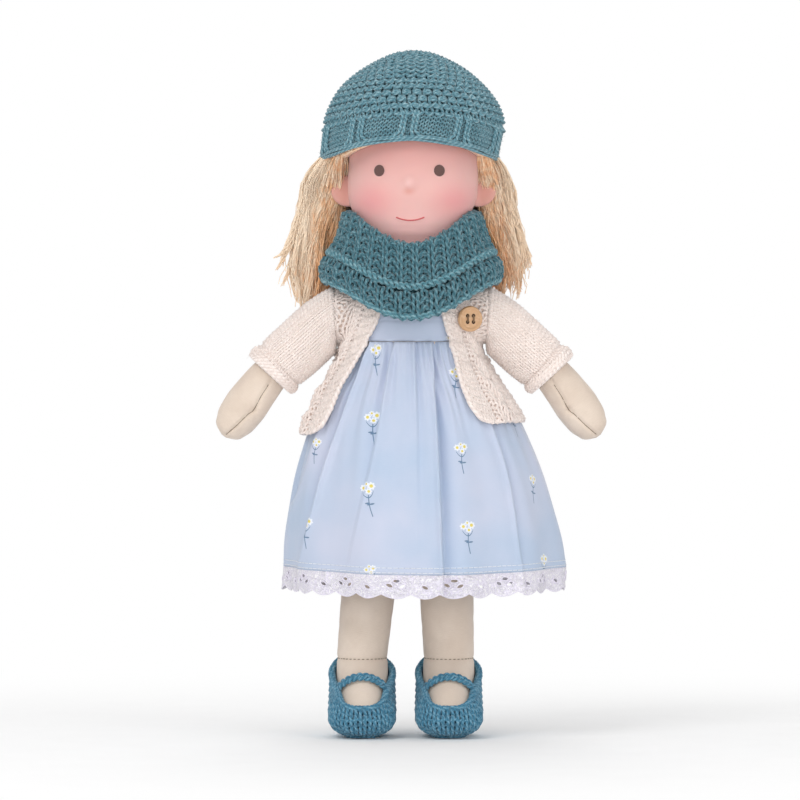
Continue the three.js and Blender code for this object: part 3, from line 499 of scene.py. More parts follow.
def arm_rings(shares, half_widths, half_depths, sides):
    """Rings square to the left arm. Near the shoulder they turn until they lie flat on the torso's side."""
    line = through(ARM_LINE, shares)
    ahead = through(ARM_LINE, shares + 0.001) - through(ARM_LINE, shares - 0.001)
    fall = -ahead[:, 1] / np.linalg.norm(ahead, axis=1)
    lean = np.clip((line[:, 0] - ARM_LINE[0][1]) / (half_widths + ARM_GAP), 0, fall)[:, None]
    a = around(sides)
    x = line[:, :1] + half_widths[:, None] * np.cos(a) * lean
    z = line[:, 1:] + half_widths[:, None] * np.cos(a) * np.sqrt(1 - lean ** 2)
    return np.stack([x, half_depths[:, None] * np.sin(a), z], 2)


shares = np.concatenate([np.linspace(0, 0.6, 40, endpoint=False), np.linspace(0.6, 1, 90)])
sizes = through(ARM_SHARES, shares) * ARM_RADIUS
rings = arm_rings(shares, sizes[:, 0], sizes[:, 1], 96)
seam_line = through(HAND_SEAM, np.linspace(0, 5, 90))
flat = rings[..., [0, 2]]
apart = np.linalg.norm(flat[:, :, None] - seam_line, axis=3)
nearest, step = apart.min(2), apart.argmin(2)
front = (rings[..., 1] < 0) * ease(shares, 0.55, 0.64)[:, None]
notch = np.linalg.norm(flat - THUMB_NOTCH, axis=2)
round_notch = np.arctan2(*np.moveaxis(flat - THUMB_NOTCH, 2, 0))
pucker = np.sin(step * 1.9) * bell(nearest, 0, 1.6) * 0.12
pucker += np.cos(round_notch * 7) * bell(notch, 2.6, 1.8) * 0.16
thumb = bell(np.linalg.norm(flat - THUMB_MIDDLE, axis=2), 0, 5.2) * 0.9
rings[..., 1] += front * (0.75 * bell(nearest, 0, 0.75) + 1.1 * bell(notch, 0, 1.5) + pucker - thumb)
seam_dark = stitch_paint("hand seam thread", "#7a6852")
for side, way in SIDES.items():
    mirrored = rings * (way, 1, 1)
    arm = lofted(f"arm_{side}_sewn", mirrored[::-1] if way > 0 else mirrored, body_cotton)
    dips = []
    for x, z in seam_line[8:]:
        spot = np.linalg.norm(flat - (x, z), axis=2) + (rings[..., 1] > 0) * 50
        y = rings[..., 1][np.unravel_index(spot.argmin(), spot.shape)]
        dips.append((way * x, y - 0.02, z))
    hand_seam = threads(f"hand_seam_{side}", [np.array(dips)], 0.17, 5, seam_dark)
    for piece in (arm, hand_seam):
        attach(piece, f"arm_{side}")
    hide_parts(f"arm_{side}")

# The head is a ball of wool wound hard and covered with fine peach jersey, which is tied off at the neck.
# The nose is a small ball of wool under the jersey, and the cheeks are rubbed with a red wax pencil.
# Each row: height from chin to crown, half width, half depth
HEAD_SHARES = [
    (-0.335, 0.414, 0.429), (-0.16, 0.414, 0.429), (-0.1, 0.418, 0.435), (0, 0.5, 0.53), (0.035, 0.65, 0.68),
    (0.09, 0.78, 0.8), (0.18, 0.9, 0.92), (0.28, 0.98, 0.99), (0.38, 1, 1), (0.48, 0.992, 0.985),
    (0.6, 0.985, 0.985), (0.71, 0.92, 0.93), (0.82, 0.77, 0.79), (0.92, 0.54, 0.56), (0.975, 0.3, 0.31),
    (1, 0.08, 0.08),
]
CHIN_HEIGHT, CROWN_HEIGHT = 219.8, 287.8
HEAD_HALF_WIDTH, HEAD_HALF_DEPTH = 29.0, 28.0
HEAD_CENTRE_X, NECK_LOW, CORE_LOW = 1.0, 197.0, 190.0
NOSE, NOSE_RISE, NOSE_SPREAD = (-1.0, 244.6), 2.0, 2.9
CHEEK_X, CHEEK_HEIGHT, SOCKET_X, SOCKET_HEIGHT = 18.5, 236.5, 13, 250.5


def head_size(heights):
    """The head's half width, half depth and the place of its middle at heights."""
    shares = (np.asarray(heights, float) - CHIN_HEIGHT) / (CROWN_HEIGHT - CHIN_HEIGHT)
    sizes = through(HEAD_SHARES, shares) * (HEAD_HALF_WIDTH, HEAD_HALF_DEPTH)
    return sizes[..., 0], sizes[..., 1], HEAD_CENTRE_X * np.clip(2 * shares, 0, 1)


def face_bump(x, height):
    """How far the nose, the cheeks and the brow stand forward of the plain ball."""
    bump = NOSE_RISE * bell(x, NOSE[0], NOSE_SPREAD) * bell(height, NOSE[1], NOSE_SPREAD)
    for way in (-1, 1):
        bump = bump + 0.7 * bell(x, HEAD_CENTRE_X + way * CHEEK_X, 8) * bell(height, CHEEK_HEIGHT, 8)
        bump = bump - 0.45 * bell(x, HEAD_CENTRE_X + way * SOCKET_X, 6) * bell(height, SOCKET_HEIGHT, 4.5)
    return bump


def on_face(x, height, lift=0.0):
    """Places on the front of the head, lifted off it."""
    x, height = np.broadcast_arrays(np.asarray(x, float), np.asarray(height, float))
    width, depth, middle = head_size(height)
    share = np.clip((x - middle) / width, -0.999, 0.999)
    y = -depth * np.sqrt(1 - share ** 2) - face_bump(x, height)
    return np.stack([x, y, height], -1) + lift * face_normal(x, height)


def face_normal(x, height):
    """The way the plain ball's front faces there."""
    width, depth, middle = head_size(height)
    share = np.clip((x - middle) / width, -0.999, 0.999)
    normal = np.stack([share / width, -np.sqrt(1 - share ** 2) / depth, np.zeros_like(share)], -1)
    return normal / np.linalg.norm(normal, axis=-1, keepdims=True)


# The emission strength serves only the glow painted under the chin
paint = Paint("face cotton", Roughness=0.62, Sheen_Weight=0.2, Sheen_Roughness=0.6, Specular_IOR_Level=0.25,
              Subsurface_Weight=0.12, Subsurface_Scale=0.003, Emission_Strength=1.0)
x, y, z = paint.split(paint.scaled(paint.place(), (1000, 1000, 1000)))
front = y.eased(2.0, -8.0)


def blush(centre_x, centre_z, wide, tall):
    """A soft oval patch on the front of the face, 1 at its middle."""
    return (1 - paint.oval(x, z, centre_x, centre_z, wide, tall).eased(0.0, 1.0)) * front


cheeks = blush(HEAD_CENTRE_X - CHEEK_X - 1, CHEEK_HEIGHT, 17, 13)
cheeks += blush(HEAD_CENTRE_X + CHEEK_X + 1, CHEEK_HEIGHT, 17, 13)
# Painted shadow under the nose and painted highlight on its tip
painted_nose_shadow = blush(NOSE[0], NOSE[1] - 3.4, 4.2, 2.6)
painted_nose_highlight = blush(NOSE[0], NOSE[1] + 1.0, 3.2, 3.2)
# Painted shade: the forehead is painted darker upwards, towards the hat's brim
brow = z.eased(244.0, 262.0)
knit = paint.noise(paint.scaled(paint.place(), (1, 1, 0.6)), 5200.0, 2.0)
mottle = paint.noise(paint.place(), 90.0, 3.0)
colour = paint.mix(mottle, ink("#dba9a3"), ink("#e1b1ab"))
# Painted shade on the forehead
colour = paint.mix(brow * 0.8, colour, ink("#c98f89"))
# Painted light: under the chin, where the cowl keeps the lamps out, the jersey is painted lighter and given a
# faint glow
painted_chin_light = z.eased(238.0, 219.0)
colour = paint.mix(painted_chin_light * 0.7, colour, ink("#f2c6c2"))
colour = paint.mix(cheeks * 0.6, colour, ink("#e08c8e"))
# Painted shadow under the nose, then painted highlight on it
colour = paint.mix(painted_nose_shadow * 0.5, colour, ink("#d98f80"))
colour = paint.mix(painted_nose_highlight * 0.4, colour, ink("#eec9c2"))
# Painted shade: the sides of the head, where they turn away, are painted darker
colour = paint.mix(abs(x - HEAD_CENTRE_X).eased(27.0, 31.0) * 0.5, colour, ink("#c98670"))
# Painted light: the chin glows faintly, though no lamp is there
painted_chin_glow = paint.mix(painted_chin_light, ink("#000000"), ink("#80605e"))
paint.tree.links.new(painted_chin_glow.socket, paint.shader.inputs["Emission Color"])
face_cotton = paint.finish(colour, 0.58 + mottle * 0.1, knit, 0.00004, 0.6)

heights = np.linspace(NECK_LOW, CHIN_HEIGHT, 30, endpoint=False)
heights = np.concatenate([heights, np.linspace(CHIN_HEIGHT, CROWN_HEIGHT, 120)])
widths, depths, middles = head_size(heights)
rings = ovals(heights, widths, depths, 144, middles)
facing = rings[..., 1] < 0
rings[..., 1] -= facing * face_bump(rings[..., 0], rings[..., 2]) * np.clip(-rings[..., 1] / 12, 0, 1)
head = lofted("head_skin_jersey", rings, face_cotton)
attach(head, "head")
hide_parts("head_skin")

# The head's core is wool wound hard into a ball, with a stem of it that goes down into the torso.
# Its windings show as faint rings where the jersey is open.
heights = np.linspace(CORE_LOW, CROWN_HEIGHT - 1.6, 80)
widths, depths, middles = head_size(np.maximum(heights, NECK_LOW))
inset = 1.5 + 0.15 * np.sin(heights * 2.2)
core = lofted("head_core_wool", ovals(heights, widths - inset, depths - inset, 64, middles), wool)
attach(core, "head")
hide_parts("head_core")

# The neck's tie is three turns of strong cotton thread, pulled tight over the jersey and knotted.
# It draws the skin in under the chin and holds it on the stem.
TIE_HEIGHT, TIE_RADIUS = 210.0, 12.6


def outwards(a):
    """Level directions of length 1 at angles."""
    return np.stack([np.cos(a), np.sin(a), np.zeros_like(a)], -1)


a = np.linspace(0, TAU, 121)
turns = [(TIE_RADIUS + 0.35 * row) * outwards(a) + (0, 0, TIE_HEIGHT - 0.45 + 0.45 * row)
         for row in range(3)]
tie = threads("neck_tie_thread", turns, 0.3, 6, stitch_paint("tie thread", "#efe6d6"))
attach(tie, "head")
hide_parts("neck_tie")

# Eyes: two small dark brown discs of felt, cut out with a slightly rounded edge.
# They are sewn flat on the face with stitches that don't show.
EYE_RADIUS, EYE_HEIGHT = 2.6, 250.4
EYE_XS = {"left": 12.3, "right": -14.1}
paint = Paint("eye felt", Roughness=0.55, Sheen_Weight=0.5, Specular_IOR_Level=0.4)
fibres = paint.noise(paint.place(), 3500.0, 4.0, 0.7)
eye_felt = paint.finish(paint.mix(fibres, ink("#3f2622"), ink("#6a4740")), None, fibres, 0.00008)
for side in SIDES:
    centre = on_face(EYE_XS[side], EYE_HEIGHT)
    out = face_normal(np.array(EYE_XS[side]), np.array(EYE_HEIGHT))
    across = np.array([-out[1], out[0], 0])
    a = around(48)
    rim = [(0.97, -0.2), (1.0, 0.12), (0.985, 0.3), (0.93, 0.42), (0.8, 0.5), (0.5, 0.58), (0.2, 0.62)]
    disc = EYE_RADIUS * (np.outer(np.cos(a), across) + np.outer(np.sin(a), (0, 0, 1)))
    rings = [centre + out * lift + size * disc for size, lift in rim]
    eye = lofted(f"eye_{side}_felt", rings, eye_felt)
    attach(eye, "head")
    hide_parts(f"eye_{side}")

# Mouth: one curved stitch of red cotton thread, drawn through the jersey from corner to corner.
# It is thickest in its middle and thins out where it goes in.
MOUTH_X, MOUTH_HEIGHT, MOUTH_HALF_WIDTH, MOUTH_FALL = -0.5, 229.9, 6.2, 1.4
share = np.linspace(-1, 1, 33)
smile = on_face(MOUTH_X + share * MOUTH_HALF_WIDTH, MOUTH_HEIGHT - MOUTH_FALL * (1 - share ** 2), 0.1)
mouth_paint = stitch_paint("mouth thread", "#cf5f60")
mouth = threads("mouth_thread", [(smile, 0.35 + 0.65 * (1 - share ** 4))], 0.34, 8, mouth_paint)
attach(mouth, "head")
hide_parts("mouth_stitch")

# Ears: small pads of the same jersey with a little wool inside, gathered at the edge.
# They are sewn to the sides of the head, with the hollow of the ear facing forward.
EAR_HEIGHT, EAR_Y, EAR_REACH, EAR_HALF_HEIGHT, EAR_HALF_DEPTH = 242.5, 3.0, 7.4, 7.4, 2.5
for side, way in SIDES.items():
    centre = np.array([HEAD_CENTRE_X + way * head_size(EAR_HEIGHT)[0], EAR_Y, EAR_HEIGHT])
    a = around(64)
    lobe = 1 + 0.05 * np.cos(2 * a) - 0.06 * np.sin(a)
    rings = []
    for turn in np.linspace(0.04, math.pi - 0.04, 40):
        size, face = math.sin(turn), -math.cos(turn)
        bowl = 1.5 * bell(size, 0, 0.62) if face < 0 else 0.0
        depth = EAR_HALF_DEPTH * np.sign(face) * abs(face) ** 0.7 + bowl
        across, up = EAR_REACH * size * lobe * np.cos(a), EAR_HALF_HEIGHT * size * lobe * np.sin(a)
        rings.append(centre + np.stack([across, np.full(64, depth), up], 1))
    ear = lofted(f"ear_{side}_jersey", rings[::-1], face_cotton)
    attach(ear, "head")
    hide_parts(f"ear_{side}")

# Dress skirt: pale blue cotton lawn printed with small daisies, cut as one length and closed at the back.
# It is gathered and pleated into the waist, and its hem is turned up and sewn with two rows of stitches.
WAIST_HEIGHT, SKIRT_TOP, HEM_HEIGHT, HEM_FRONT_DROP = 175.3, 175.0, 75.0, 2.0
SKIRT_HALF_WIDTH, SKIRT_HALF_DEPTH, SKIRT_DRIFT = 61.0, 48.5, 6.0
FOLD_DEPTH = 2.2
SKIRT_SHARES = [
    (0, 1, 1), (0.12, 0.985, 0.98), (0.25, 0.945, 0.94), (0.4, 0.89, 0.88), (0.55, 0.81, 0.8),
    (0.66, 0.74, 0.74), (0.76, 0.655, 0.655), (0.85, 0.56, 0.57), (0.93, 0.49, 0.49), (1, 0.465, 0.455),
]
# Each pleat: -1 in front or 1 behind; x of its line at hem, middle and waist; its depth there; its crisp side
PLEATS = [
    (-1, (14.5, 12.6, 9.8), (2.6, 3.4, 2.0), 1), (-1, (50.0, 41.0, 20.0), (0.8, 2.2, 1.2), 1),
    (-1, (-51.0, -37.5, -19.0), (0.4, 3.6, 2.2), -1), (-1, (-30.0, -18.0, -8.5), (0.0, 0.9, 2.0), -1),
    (-1, (4.0, 3.6, 2.2), (0.0, 0.6, 1.9), 1), (-1, (-62.0, -46.0, -25.0), (0.6, 1.4, 1.4), -1),
    (1, (44.0, 30.0, 15.0), (1.6, 2.6, 1.8), 1), (1, (17.0, 12.0, 6.0), (1.0, 2.0, 1.8), 1),
    (1, (-8.0, -7.0, -4.5), (1.4, 2.4, 1.8), -1), (1, (-36.0, -27.0, -14.0), (1.2, 2.4, 1.8), -1),
]
LAWN = 0.35


def hem_height(a):
    """The height of the hem's edge at an angle. It hangs a little lower in front."""
    return HEM_HEIGHT - HEM_FRONT_DROP * np.clip(-np.sin(a), 0, 1) ** 2


def skirt_places(a, share, grow=0.0, folded=1.0):
    """Places on the skirt at an angle and a share of its height, grown outwards."""
    a, share = np.broadcast_arrays(np.asarray(a, float), np.asarray(share, float))
    size = through(SKIRT_SHARES, share) * (SKIRT_HALF_WIDTH, SKIRT_HALF_DEPTH)
    free = np.clip(1 - share, 0, 1)
    fold = FOLD_DEPTH * free * (0.6 * np.cos(10 * a + 1) + 0.4 * np.cos(4 * a))
    gathers = 0.42 * np.sin(62 * a + 2.4 * np.sin(5 * a)) * ease(share, 0.5, 0.93) * (1 + 0.5 * np.sin(9 * a))
    gathers += 0.3 * np.sin(27 * a + 1.5 * np.sin(3 * a) + 3 * share) * ease(share, 0.12, 0.6)
    out = fold + folded * gathers + grow
    x = SKIRT_DRIFT * free + size[..., 0] * np.cos(a)
    for face, line, depths, crisp in PLEATS:
        rows = [(0, line[0], depths[0]), (0.5, line[1], depths[1]), (1, line[2], depths[2])]
        middle, depth = np.moveaxis(through(rows, share), -1, 0)
        off = (x - middle) * crisp
        groove = np.where(off < 0, bell(off, 0, 0.55), bell(off, 0, 2.2 + 3.2 * free))
        ridge = 0.35 * bell(off, -1.3, 1.1)
        out = out - folded * (np.sin(a) * face > 0) * 1.55 * depth * (groove - ridge)
    bottom = hem_height(a)
    base = np.stack([x, size[..., 1] * np.sin(a), bottom + (SKIRT_TOP - bottom) * share], -1)
    return base + outwards(a) * out[..., None]


def shell(name, outer, inner, material, closed=True, flat=None):
    """A closed sheet between two grids of places, rows from bottom to top and columns counterclockwise."""
    rows, sides = outer.shape[:2]
    steps = sides if closed else sides - 1
    back = rows * sides
    quads = between_rings(rows, sides, steps)[2]
    faces = [quads, quads[:, [0, 3, 2, 1]] + back]
    i = np.arange(steps)
    j = (i + 1) % sides
    top = (rows - 1) * sides
    faces += [np.stack([i, i + back, j + back, j], 1), np.stack([i, j, j + back, i + back], 1) + top]
    if flat is None:
        across = np.linalg.norm(np.roll(outer, -1, 1) - outer, axis=2)[:, :steps].sum(1).mean() / steps
        flat = np.stack(np.meshgrid(np.arange(steps + 1) * across, climbed(outer)), 2)
    near, far = flat[:, :-1], flat[:, 1:]
    face = np.stack([near[:-1], far[:-1], far[1:], near[1:]], 2).reshape(-1, 4, 2)
    edges = [np.stack([near[k], near[k], far[k], far[k]], 1) for k in (0, -1)]
    cloth = [face, face[:, [0, 3, 2, 1]], edges[0], edges[1][:, [0, 3, 2, 1]]]
    if not closed:
        r = np.arange(rows - 1) * sides
        last = sides - 1
        faces += [np.stack([r, r + sides, r + sides + back, r + back], 1),
                  np.stack([r, r + back, r + sides + back, r + sides], 1) + last]
        for k, order in ((0, (0, 1, 1, 0)), (-1, (0, 0, 1, 1))):
            rise = np.stack([flat[:-1, k], flat[1:, k]], 1)
            cloth.append(rise[:, list(order)])
    return place(name, np.concatenate([outer.reshape(-1, 3), inner.reshape(-1, 3)]), faces, cloth, material)


def printed_lawn():
    """Blue lawn with daisy sprigs in a half-drop repeat; the weave is finer than a sprig's stem is wide."""
    paint = Paint("printed lawn", Roughness=0.7, Sheen_Weight=0.3, Sheen_Roughness=0.4,
                  Specular_IOR_Level=0.3)

    def leaf(x, y, centre_x, centre_y, wide, tall):
        return paint.oval(x, y, centre_x, centre_y, wide, tall).eased(1.25, 0.75)

    cloth = paint.cloth()
    u, v, _ = paint.split(cloth)
    weave, slubs = paint.woven(cloth, 0.36, (0.4, 2.6, 1))
    wash = paint.noise(paint.place(), 22.0, 3.0)
    colour = paint.mix(wash.eased(0.25, 0.75), ink("#a9bcd4"), ink("#c2c7da"))
    # Partly painted shade: the weave's crossings are painted a touch lighter and darker; the slubs are the
    # lawn's own tone
    colour = paint.mix(weave * 0.06 + slubs * 0.16, colour, ink("#dbe0ea"))
    repeat_across, repeat_up = 37.0, 34.0
    column = (u / repeat_across).floor()
    drop = (column * 0.5 - (column * 0.5).floor()) * repeat_up
    row = ((v + drop) / repeat_up).floor()
    cell = paint.node("CombineXYZ", {}, column, row, 3.0)
    chance = paint.node("TexWhiteNoise", {"noise_dimensions": "3D"}, Vector=cell, out="Color")
    sway, nod, size = paint.split(chance)
    x = u - (column + 0.5) * repeat_across + (sway - 0.5) * 9.0
    y = v + drop - (row + 0.5) * repeat_up + (nod - 0.5) * 7.0
    lean = (sway - 0.5) * 0.55
    scale = size * 0.3 + 0.85
    x, y = (x + y * lean) / scale, (y - x * lean) / scale
    bend = x - (y * 0.45).sine() * 0.3
    stem = abs(bend).eased(0.26, 0.13) * y.eased(-8.4, -7.9) * y.eased(1.6, 1.2)
    arms = abs(y + 0.4 - abs(x) * abs(x) * 0.42).eased(0.3, 0.14) * abs(x).eased(2.5, 2.2)
    leaves = leaf(x + y * 0.5, y, -2.2, -2.6, 1.0, 0.34) + leaf(x - y * 0.5, y, 2.4, -3.1, 0.95, 0.34)
    leaves += leaf(x, y, -0.5, -3.2, 0.75, 0.3)
    colour = paint.mix((stem + arms + leaves).least(1.0) * 0.9, colour, ink("#567493"))
    for centre_x, centre_y, wide in ((-1.7, 3.7, 1.5), (1.9, 4.1, 1.65), (0.5, 2.1, 1.3), (0.1, 5.2, 1.0)):
        across, up = x - centre_x, y - centre_y
        far = (across * across + up * up).root()
        turn = paint.node("Math", {"operation": "ARCTAN2"}, up, across)
        petals = (far - (turn * 7.0 + centre_x).cosine() * 0.2).eased(wide, wide * 0.82)
        colour = paint.mix(petals * 0.7, colour, ink("#f2f2f6"))
        colour = paint.mix(far.eased(wide * 0.5, wide * 0.36) * 0.95, colour, ink("#dccb55"))
    return paint.finish(colour, 0.66 + slubs * 0.12, weave * 0.4 + slubs * 0.9, 0.00006, 0.6)


dress_lawn = printed_lawn()
SKIRT_COLUMNS, SKIRT_ROWS = 440, 72
a = TAU / 4 + np.arange(SKIRT_COLUMNS + 1) / SKIRT_COLUMNS * TAU
shares = np.linspace(0, 1, SKIRT_ROWS)
outer = skirt_places(a[None, :-1], shares[:, None])
inner = skirt_places(a[None, :-1], shares[:, None], grow=-LAWN)
reach = np.linalg.norm(outer[..., :2] - outer[..., :2].mean(1, keepdims=True), axis=2).mean(1)
round_share = np.arange(SKIRT_COLUMNS + 1) / SKIRT_COLUMNS - 0.5
spread = np.outer(0.35 * reach[0] + 0.65 * reach, round_share * TAU)
flat = np.stack([spread, np.broadcast_to(climbed(outer)[:, None], spread.shape)], 2)
cloth = shell("skirt_cloth", outer, inner, dress_lawn, flat=flat)
stitch_white = stitch_paint("hem thread", "#eef2fa")
HEM_STITCHES, HEM_ROWS = 150, (0.9, 3.0)
hem_stitches = []
for height in HEM_ROWS:
    for k in range(HEM_STITCHES):
        turn = (k + np.array([0.08, 0.5, 0.9])) / HEM_STITCHES * TAU
        hem_stitches.append(skirt_places(turn, height / (SKIRT_TOP - HEM_HEIGHT), grow=0.1))
skirt = threads("skirt_gathered", hem_stitches, 0.19, 4, stitch_white, join=(cloth,))
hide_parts("skirt")
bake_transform(skirt)

# Lace: white cotton edging, embroidered all over, with a scalloped lower edge and worked eyelets.
# It is sewn behind the hem, so the hem's edge lies over its top.
LACE_DEPTH, SCALLOPS, SCALLOP_DEPTH, LACE_WALL = 10.5, 30, 2.0, 0.5
LACE_COLUMNS, LACE_ROWS = 900, 22
EYELET_WIDE, EYELET_TALL = 1.35, 0.75
GIRTH = 345.0


def lace_places(a, drop, grow=0.0):
    """Places on the lace at an angle and millimetres below the hem."""
    a, drop = np.broadcast_arrays(np.asarray(a, float), np.asarray(drop, float))
    base = skirt_places(a, np.zeros_like(a))
    ruffle = 0.9 * np.sin(15 * a + 1.3 * np.sin(4 * a)) * np.clip(drop / LACE_DEPTH, 0, 1)
    tuck = -0.55 * ease(drop, 0.4, -0.6)
    return base + outwards(a) * (ruffle + tuck + grow)[..., None] - drop[..., None] * (0, 0, 1)


def scallop(a):
    """How far the lower edge rises above its points at an angle."""
    return SCALLOP_DEPTH * (1 - np.abs(np.sin(SCALLOPS * a / 2)))


paint = Paint("lace", Roughness=0.75, Sheen_Weight=0.3, Specular_IOR_Level=0.3)
cloth_place = paint.cloth()
u, v, _ = paint.split(cloth_place)
pebbles = paint.node("TexVoronoi", {"feature": "F1"}, Vector=cloth_place, Scale=1.1, out="Distance")
vines = paint.noise(cloth_place, 0.4, 2.0, 0.5, 2.2)
relief = (1 - pebbles * 1.6) * 0.6 + abs(vines - 0.5).eased(0.06, 0.02) * 0.8
# Painted shade and highlight: the lace is painted darker in the low parts of its relief and lighter on the
# raised ones
colour = paint.mix(relief, ink("#dcd7e6"), ink("#fdfbff"))
lace_paint = paint.finish(colour, None, relief, 0.0004, 0.8)
a = np.arange(LACE_COLUMNS + 1) / LACE_COLUMNS * TAU
share = np.linspace(1, 0, LACE_ROWS)[:, None]
u = np.broadcast_to(a * GIRTH / TAU, (LACE_ROWS, LACE_COLUMNS + 1)).copy()
v = share * (LACE_DEPTH - scallop(a)) - (1 - share)
# Each scallop has one eyelet or three, as rows of: along the lace, below the hem, tilt
ONE_EYELET, THREE_EYELETS = [(0.0, 5.4, 0.45)], [(-2.6, 4.6, 0.5), (2.3, 4.9, -0.5), (0.1, 2.6, 0.0)]
eyelets = []
for k in range(SCALLOPS):
    centre = (k + 0.5) * GIRTH / SCALLOPS
    eyelets += [(centre + off, drop, tilt) for off, drop, tilt in (THREE_EYELETS if k % 2 else ONE_EYELET)]
hole = np.zeros(u.shape, bool)
snap_u, snap_v = u.copy(), v.copy()
for centre_u, centre_v, tilt in eyelets:
    du, dv = u - centre_u, v - centre_v
    across, up = du * math.cos(tilt) + dv * math.sin(tilt), dv * math.cos(tilt) - du * math.sin(tilt)
    away = np.hypot(across / EYELET_WIDE, up / EYELET_TALL)
    hole |= away < 1
    near = (away >= 1) & (away < 1.75)
    snap_u[near] = centre_u + du[near] / away[near]
    snap_v[near] = centre_v + dv[near] / away[near]
gone = hole[:-1, :-1] | hole[:-1, 1:] | hole[1:, :-1] | hole[1:, 1:]
beside = np.zeros(u.shape, bool)
for down, right in ((0, 0), (0, 1), (1, 0), (1, 1)):
    beside[down:down + gone.shape[0], right:right + gone.shape[1]] |= gone
beside[:, 0] |= beside[:, -1]
u, v = np.where(beside & ~hole, snap_u, u), np.where(beside & ~hole, snap_v, v)
spots = lace_places(u * TAU / GIRTH, v)[:, :-1]
r, i = np.nonzero(~gone)
j = (i + 1) % LACE_COLUMNS
quads = np.stack([r * LACE_COLUMNS + i, r * LACE_COLUMNS + j, (r + 1) * LACE_COLUMNS + j,
                  (r + 1) * LACE_COLUMNS + i], 1)
flat = np.stack([u, -v], 2)
corners = np.stack([flat[r, i], flat[r, i + 1], flat[r + 1, i + 1], flat[r + 1, i]], 1)
cloth = place("lace_cloth", spots.reshape(-1, 3), [quads], [corners], lace_paint)
wall = cloth.modifiers.new("wall", "SOLIDIFY")
wall.thickness, wall.offset = LACE_WALL * MM, -1.0
turn = np.linspace(0, TAU, 13)
rims = []
for centre_u, centre_v, tilt in eyelets:
    across, up = 1.12 * EYELET_WIDE * np.cos(turn), 1.2 * EYELET_TALL * np.sin(turn)
    rim_u = centre_u + across * math.cos(tilt) - up * math.sin(tilt)
    rim_v = centre_v + across * math.sin(tilt) + up * math.cos(tilt)
    rims.append(lace_places(rim_u * TAU / GIRTH, rim_v, 0.1))
a = np.linspace(0, TAU, 901)
edge = lace_places(a, LACE_DEPTH - 0.25 - scallop(a), -0.2)
lace = threads("lace_edging", [edge, *rims], 0.3, 5, lace_paint, join=(cloth,))
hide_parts("lace_trim")
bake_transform(lace)

# Bodice: the same lawn, cut close to the body and gathered into a plain band above the waist.
# The band's lower edge is sewn to the skirt.
BODICE_TOP, BODICE_EASE, BODICE_WALL, BAND_TOP, BAND_FOOT = 197.0, 0.5, 0.7, 184.4, 176.2
heights = np.linspace(WAIST_HEIGHT - 0.1, BODICE_TOP, 40)
widths, depths = torso_size(heights)
a = around(180)
crease = 0.16 * np.sin(23 * a + 2 * np.sin(3 * a)) * ease(heights, 184.5, 186.5)[:, None]
seam = 0.15 * bell(heights, BAND_FOOT, 0.5) - 0.25 * bell(heights, BAND_TOP, 0.35)
grow = (BODICE_EASE + BODICE_WALL + crease + seam[:, None])[..., None]
base = ovals(heights, widths, depths, 180)
bodice = shell("bodice_lawn", base + outwards(a) * grow, base + outwards(a) * BODICE_EASE, dress_lawn)
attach(bodice, "torso")
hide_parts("bodice")

# Cardigan body: knitted in one from cream mohair, open in front, with a band and a cable down each front.
# The yarn is brushed, so the stitches are soft and a halo of fibres stands off them.


class Wall:
    """A surface held as lines of places that run up it, each evened out along its length.
    It is read at u from 0 to 1 across the lines, counterclockwise, and v from 0 to 1 up them."""

    def __init__(self, lines, closed=True, steps=100):
        lengths = np.linalg.norm(np.diff(lines, axis=1), axis=2)
        along = np.concatenate([np.zeros((len(lines), 1)), np.cumsum(lengths, axis=1)], 1)
        even = np.linspace(0, 1, steps + 1)
        self.lengths = along[:, -1]
        self.lines = np.stack([np.stack([np.interp(even * total[-1], total, line[:, k]) for k in range(3)], 1)
                               for line, total in zip(lines, along)])
        self.closed, self.steps = closed, steps

    def __call__(self, u, v):
        count = len(self.lines) - (not self.closed)
        across, up = np.broadcast_arrays(np.asarray(u, float) * count, np.asarray(v, float) * self.steps)
        i = np.floor(across).astype(int)
        i = i if self.closed else np.clip(i, 0, count - 1)
        j = np.clip(np.floor(up).astype(int), 0, self.steps - 1)
        s, t = (across - i)[..., None], (up - j)[..., None]
        left, right = i % len(self.lines), (i + 1) % len(self.lines)
        low = self.lines[left, j] * (1 - s) + self.lines[right, j] * s
        high = self.lines[left, j + 1] * (1 - s) + self.lines[right, j + 1] * s
        return low * (1 - t) + high * t

    def outward(self, u, v):
        """The way the surface faces."""
        e = 0.006
        across, up = self(u + e, v) - self(u - e, v), self(u, v + e) - self(u, v - e)
        normal = np.cross(across, up)
        return normal / np.linalg.norm(normal, axis=-1, keepdims=True)

    def lifted(self, u, v, lift=0.0):
        """Places off the surface, outwards."""
        u, v = np.broadcast_arrays(np.asarray(u, float), np.asarray(v, float))
        return self(u, v) + self.outward(u, v) * np.broadcast_to(lift, u.shape)[..., None]

    def lining(self, name, material, outside, inside, columns, rows, low=0.0, high=1.0, relief=None):
        """A closed sheet that follows the surface between two depths under it."""
        u = np.arange(columns) / columns if self.closed else np.linspace(0, 1, columns)
        v = np.linspace(low, high, rows)[:, None]
        rise = relief(u[None], v) if relief else 0.0
        outer, inner = self.lifted(u[None], v, rise - outside), self.lifted(u[None], v, -inside)
        return shell(name, outer, inner, material, closed=self.closed)


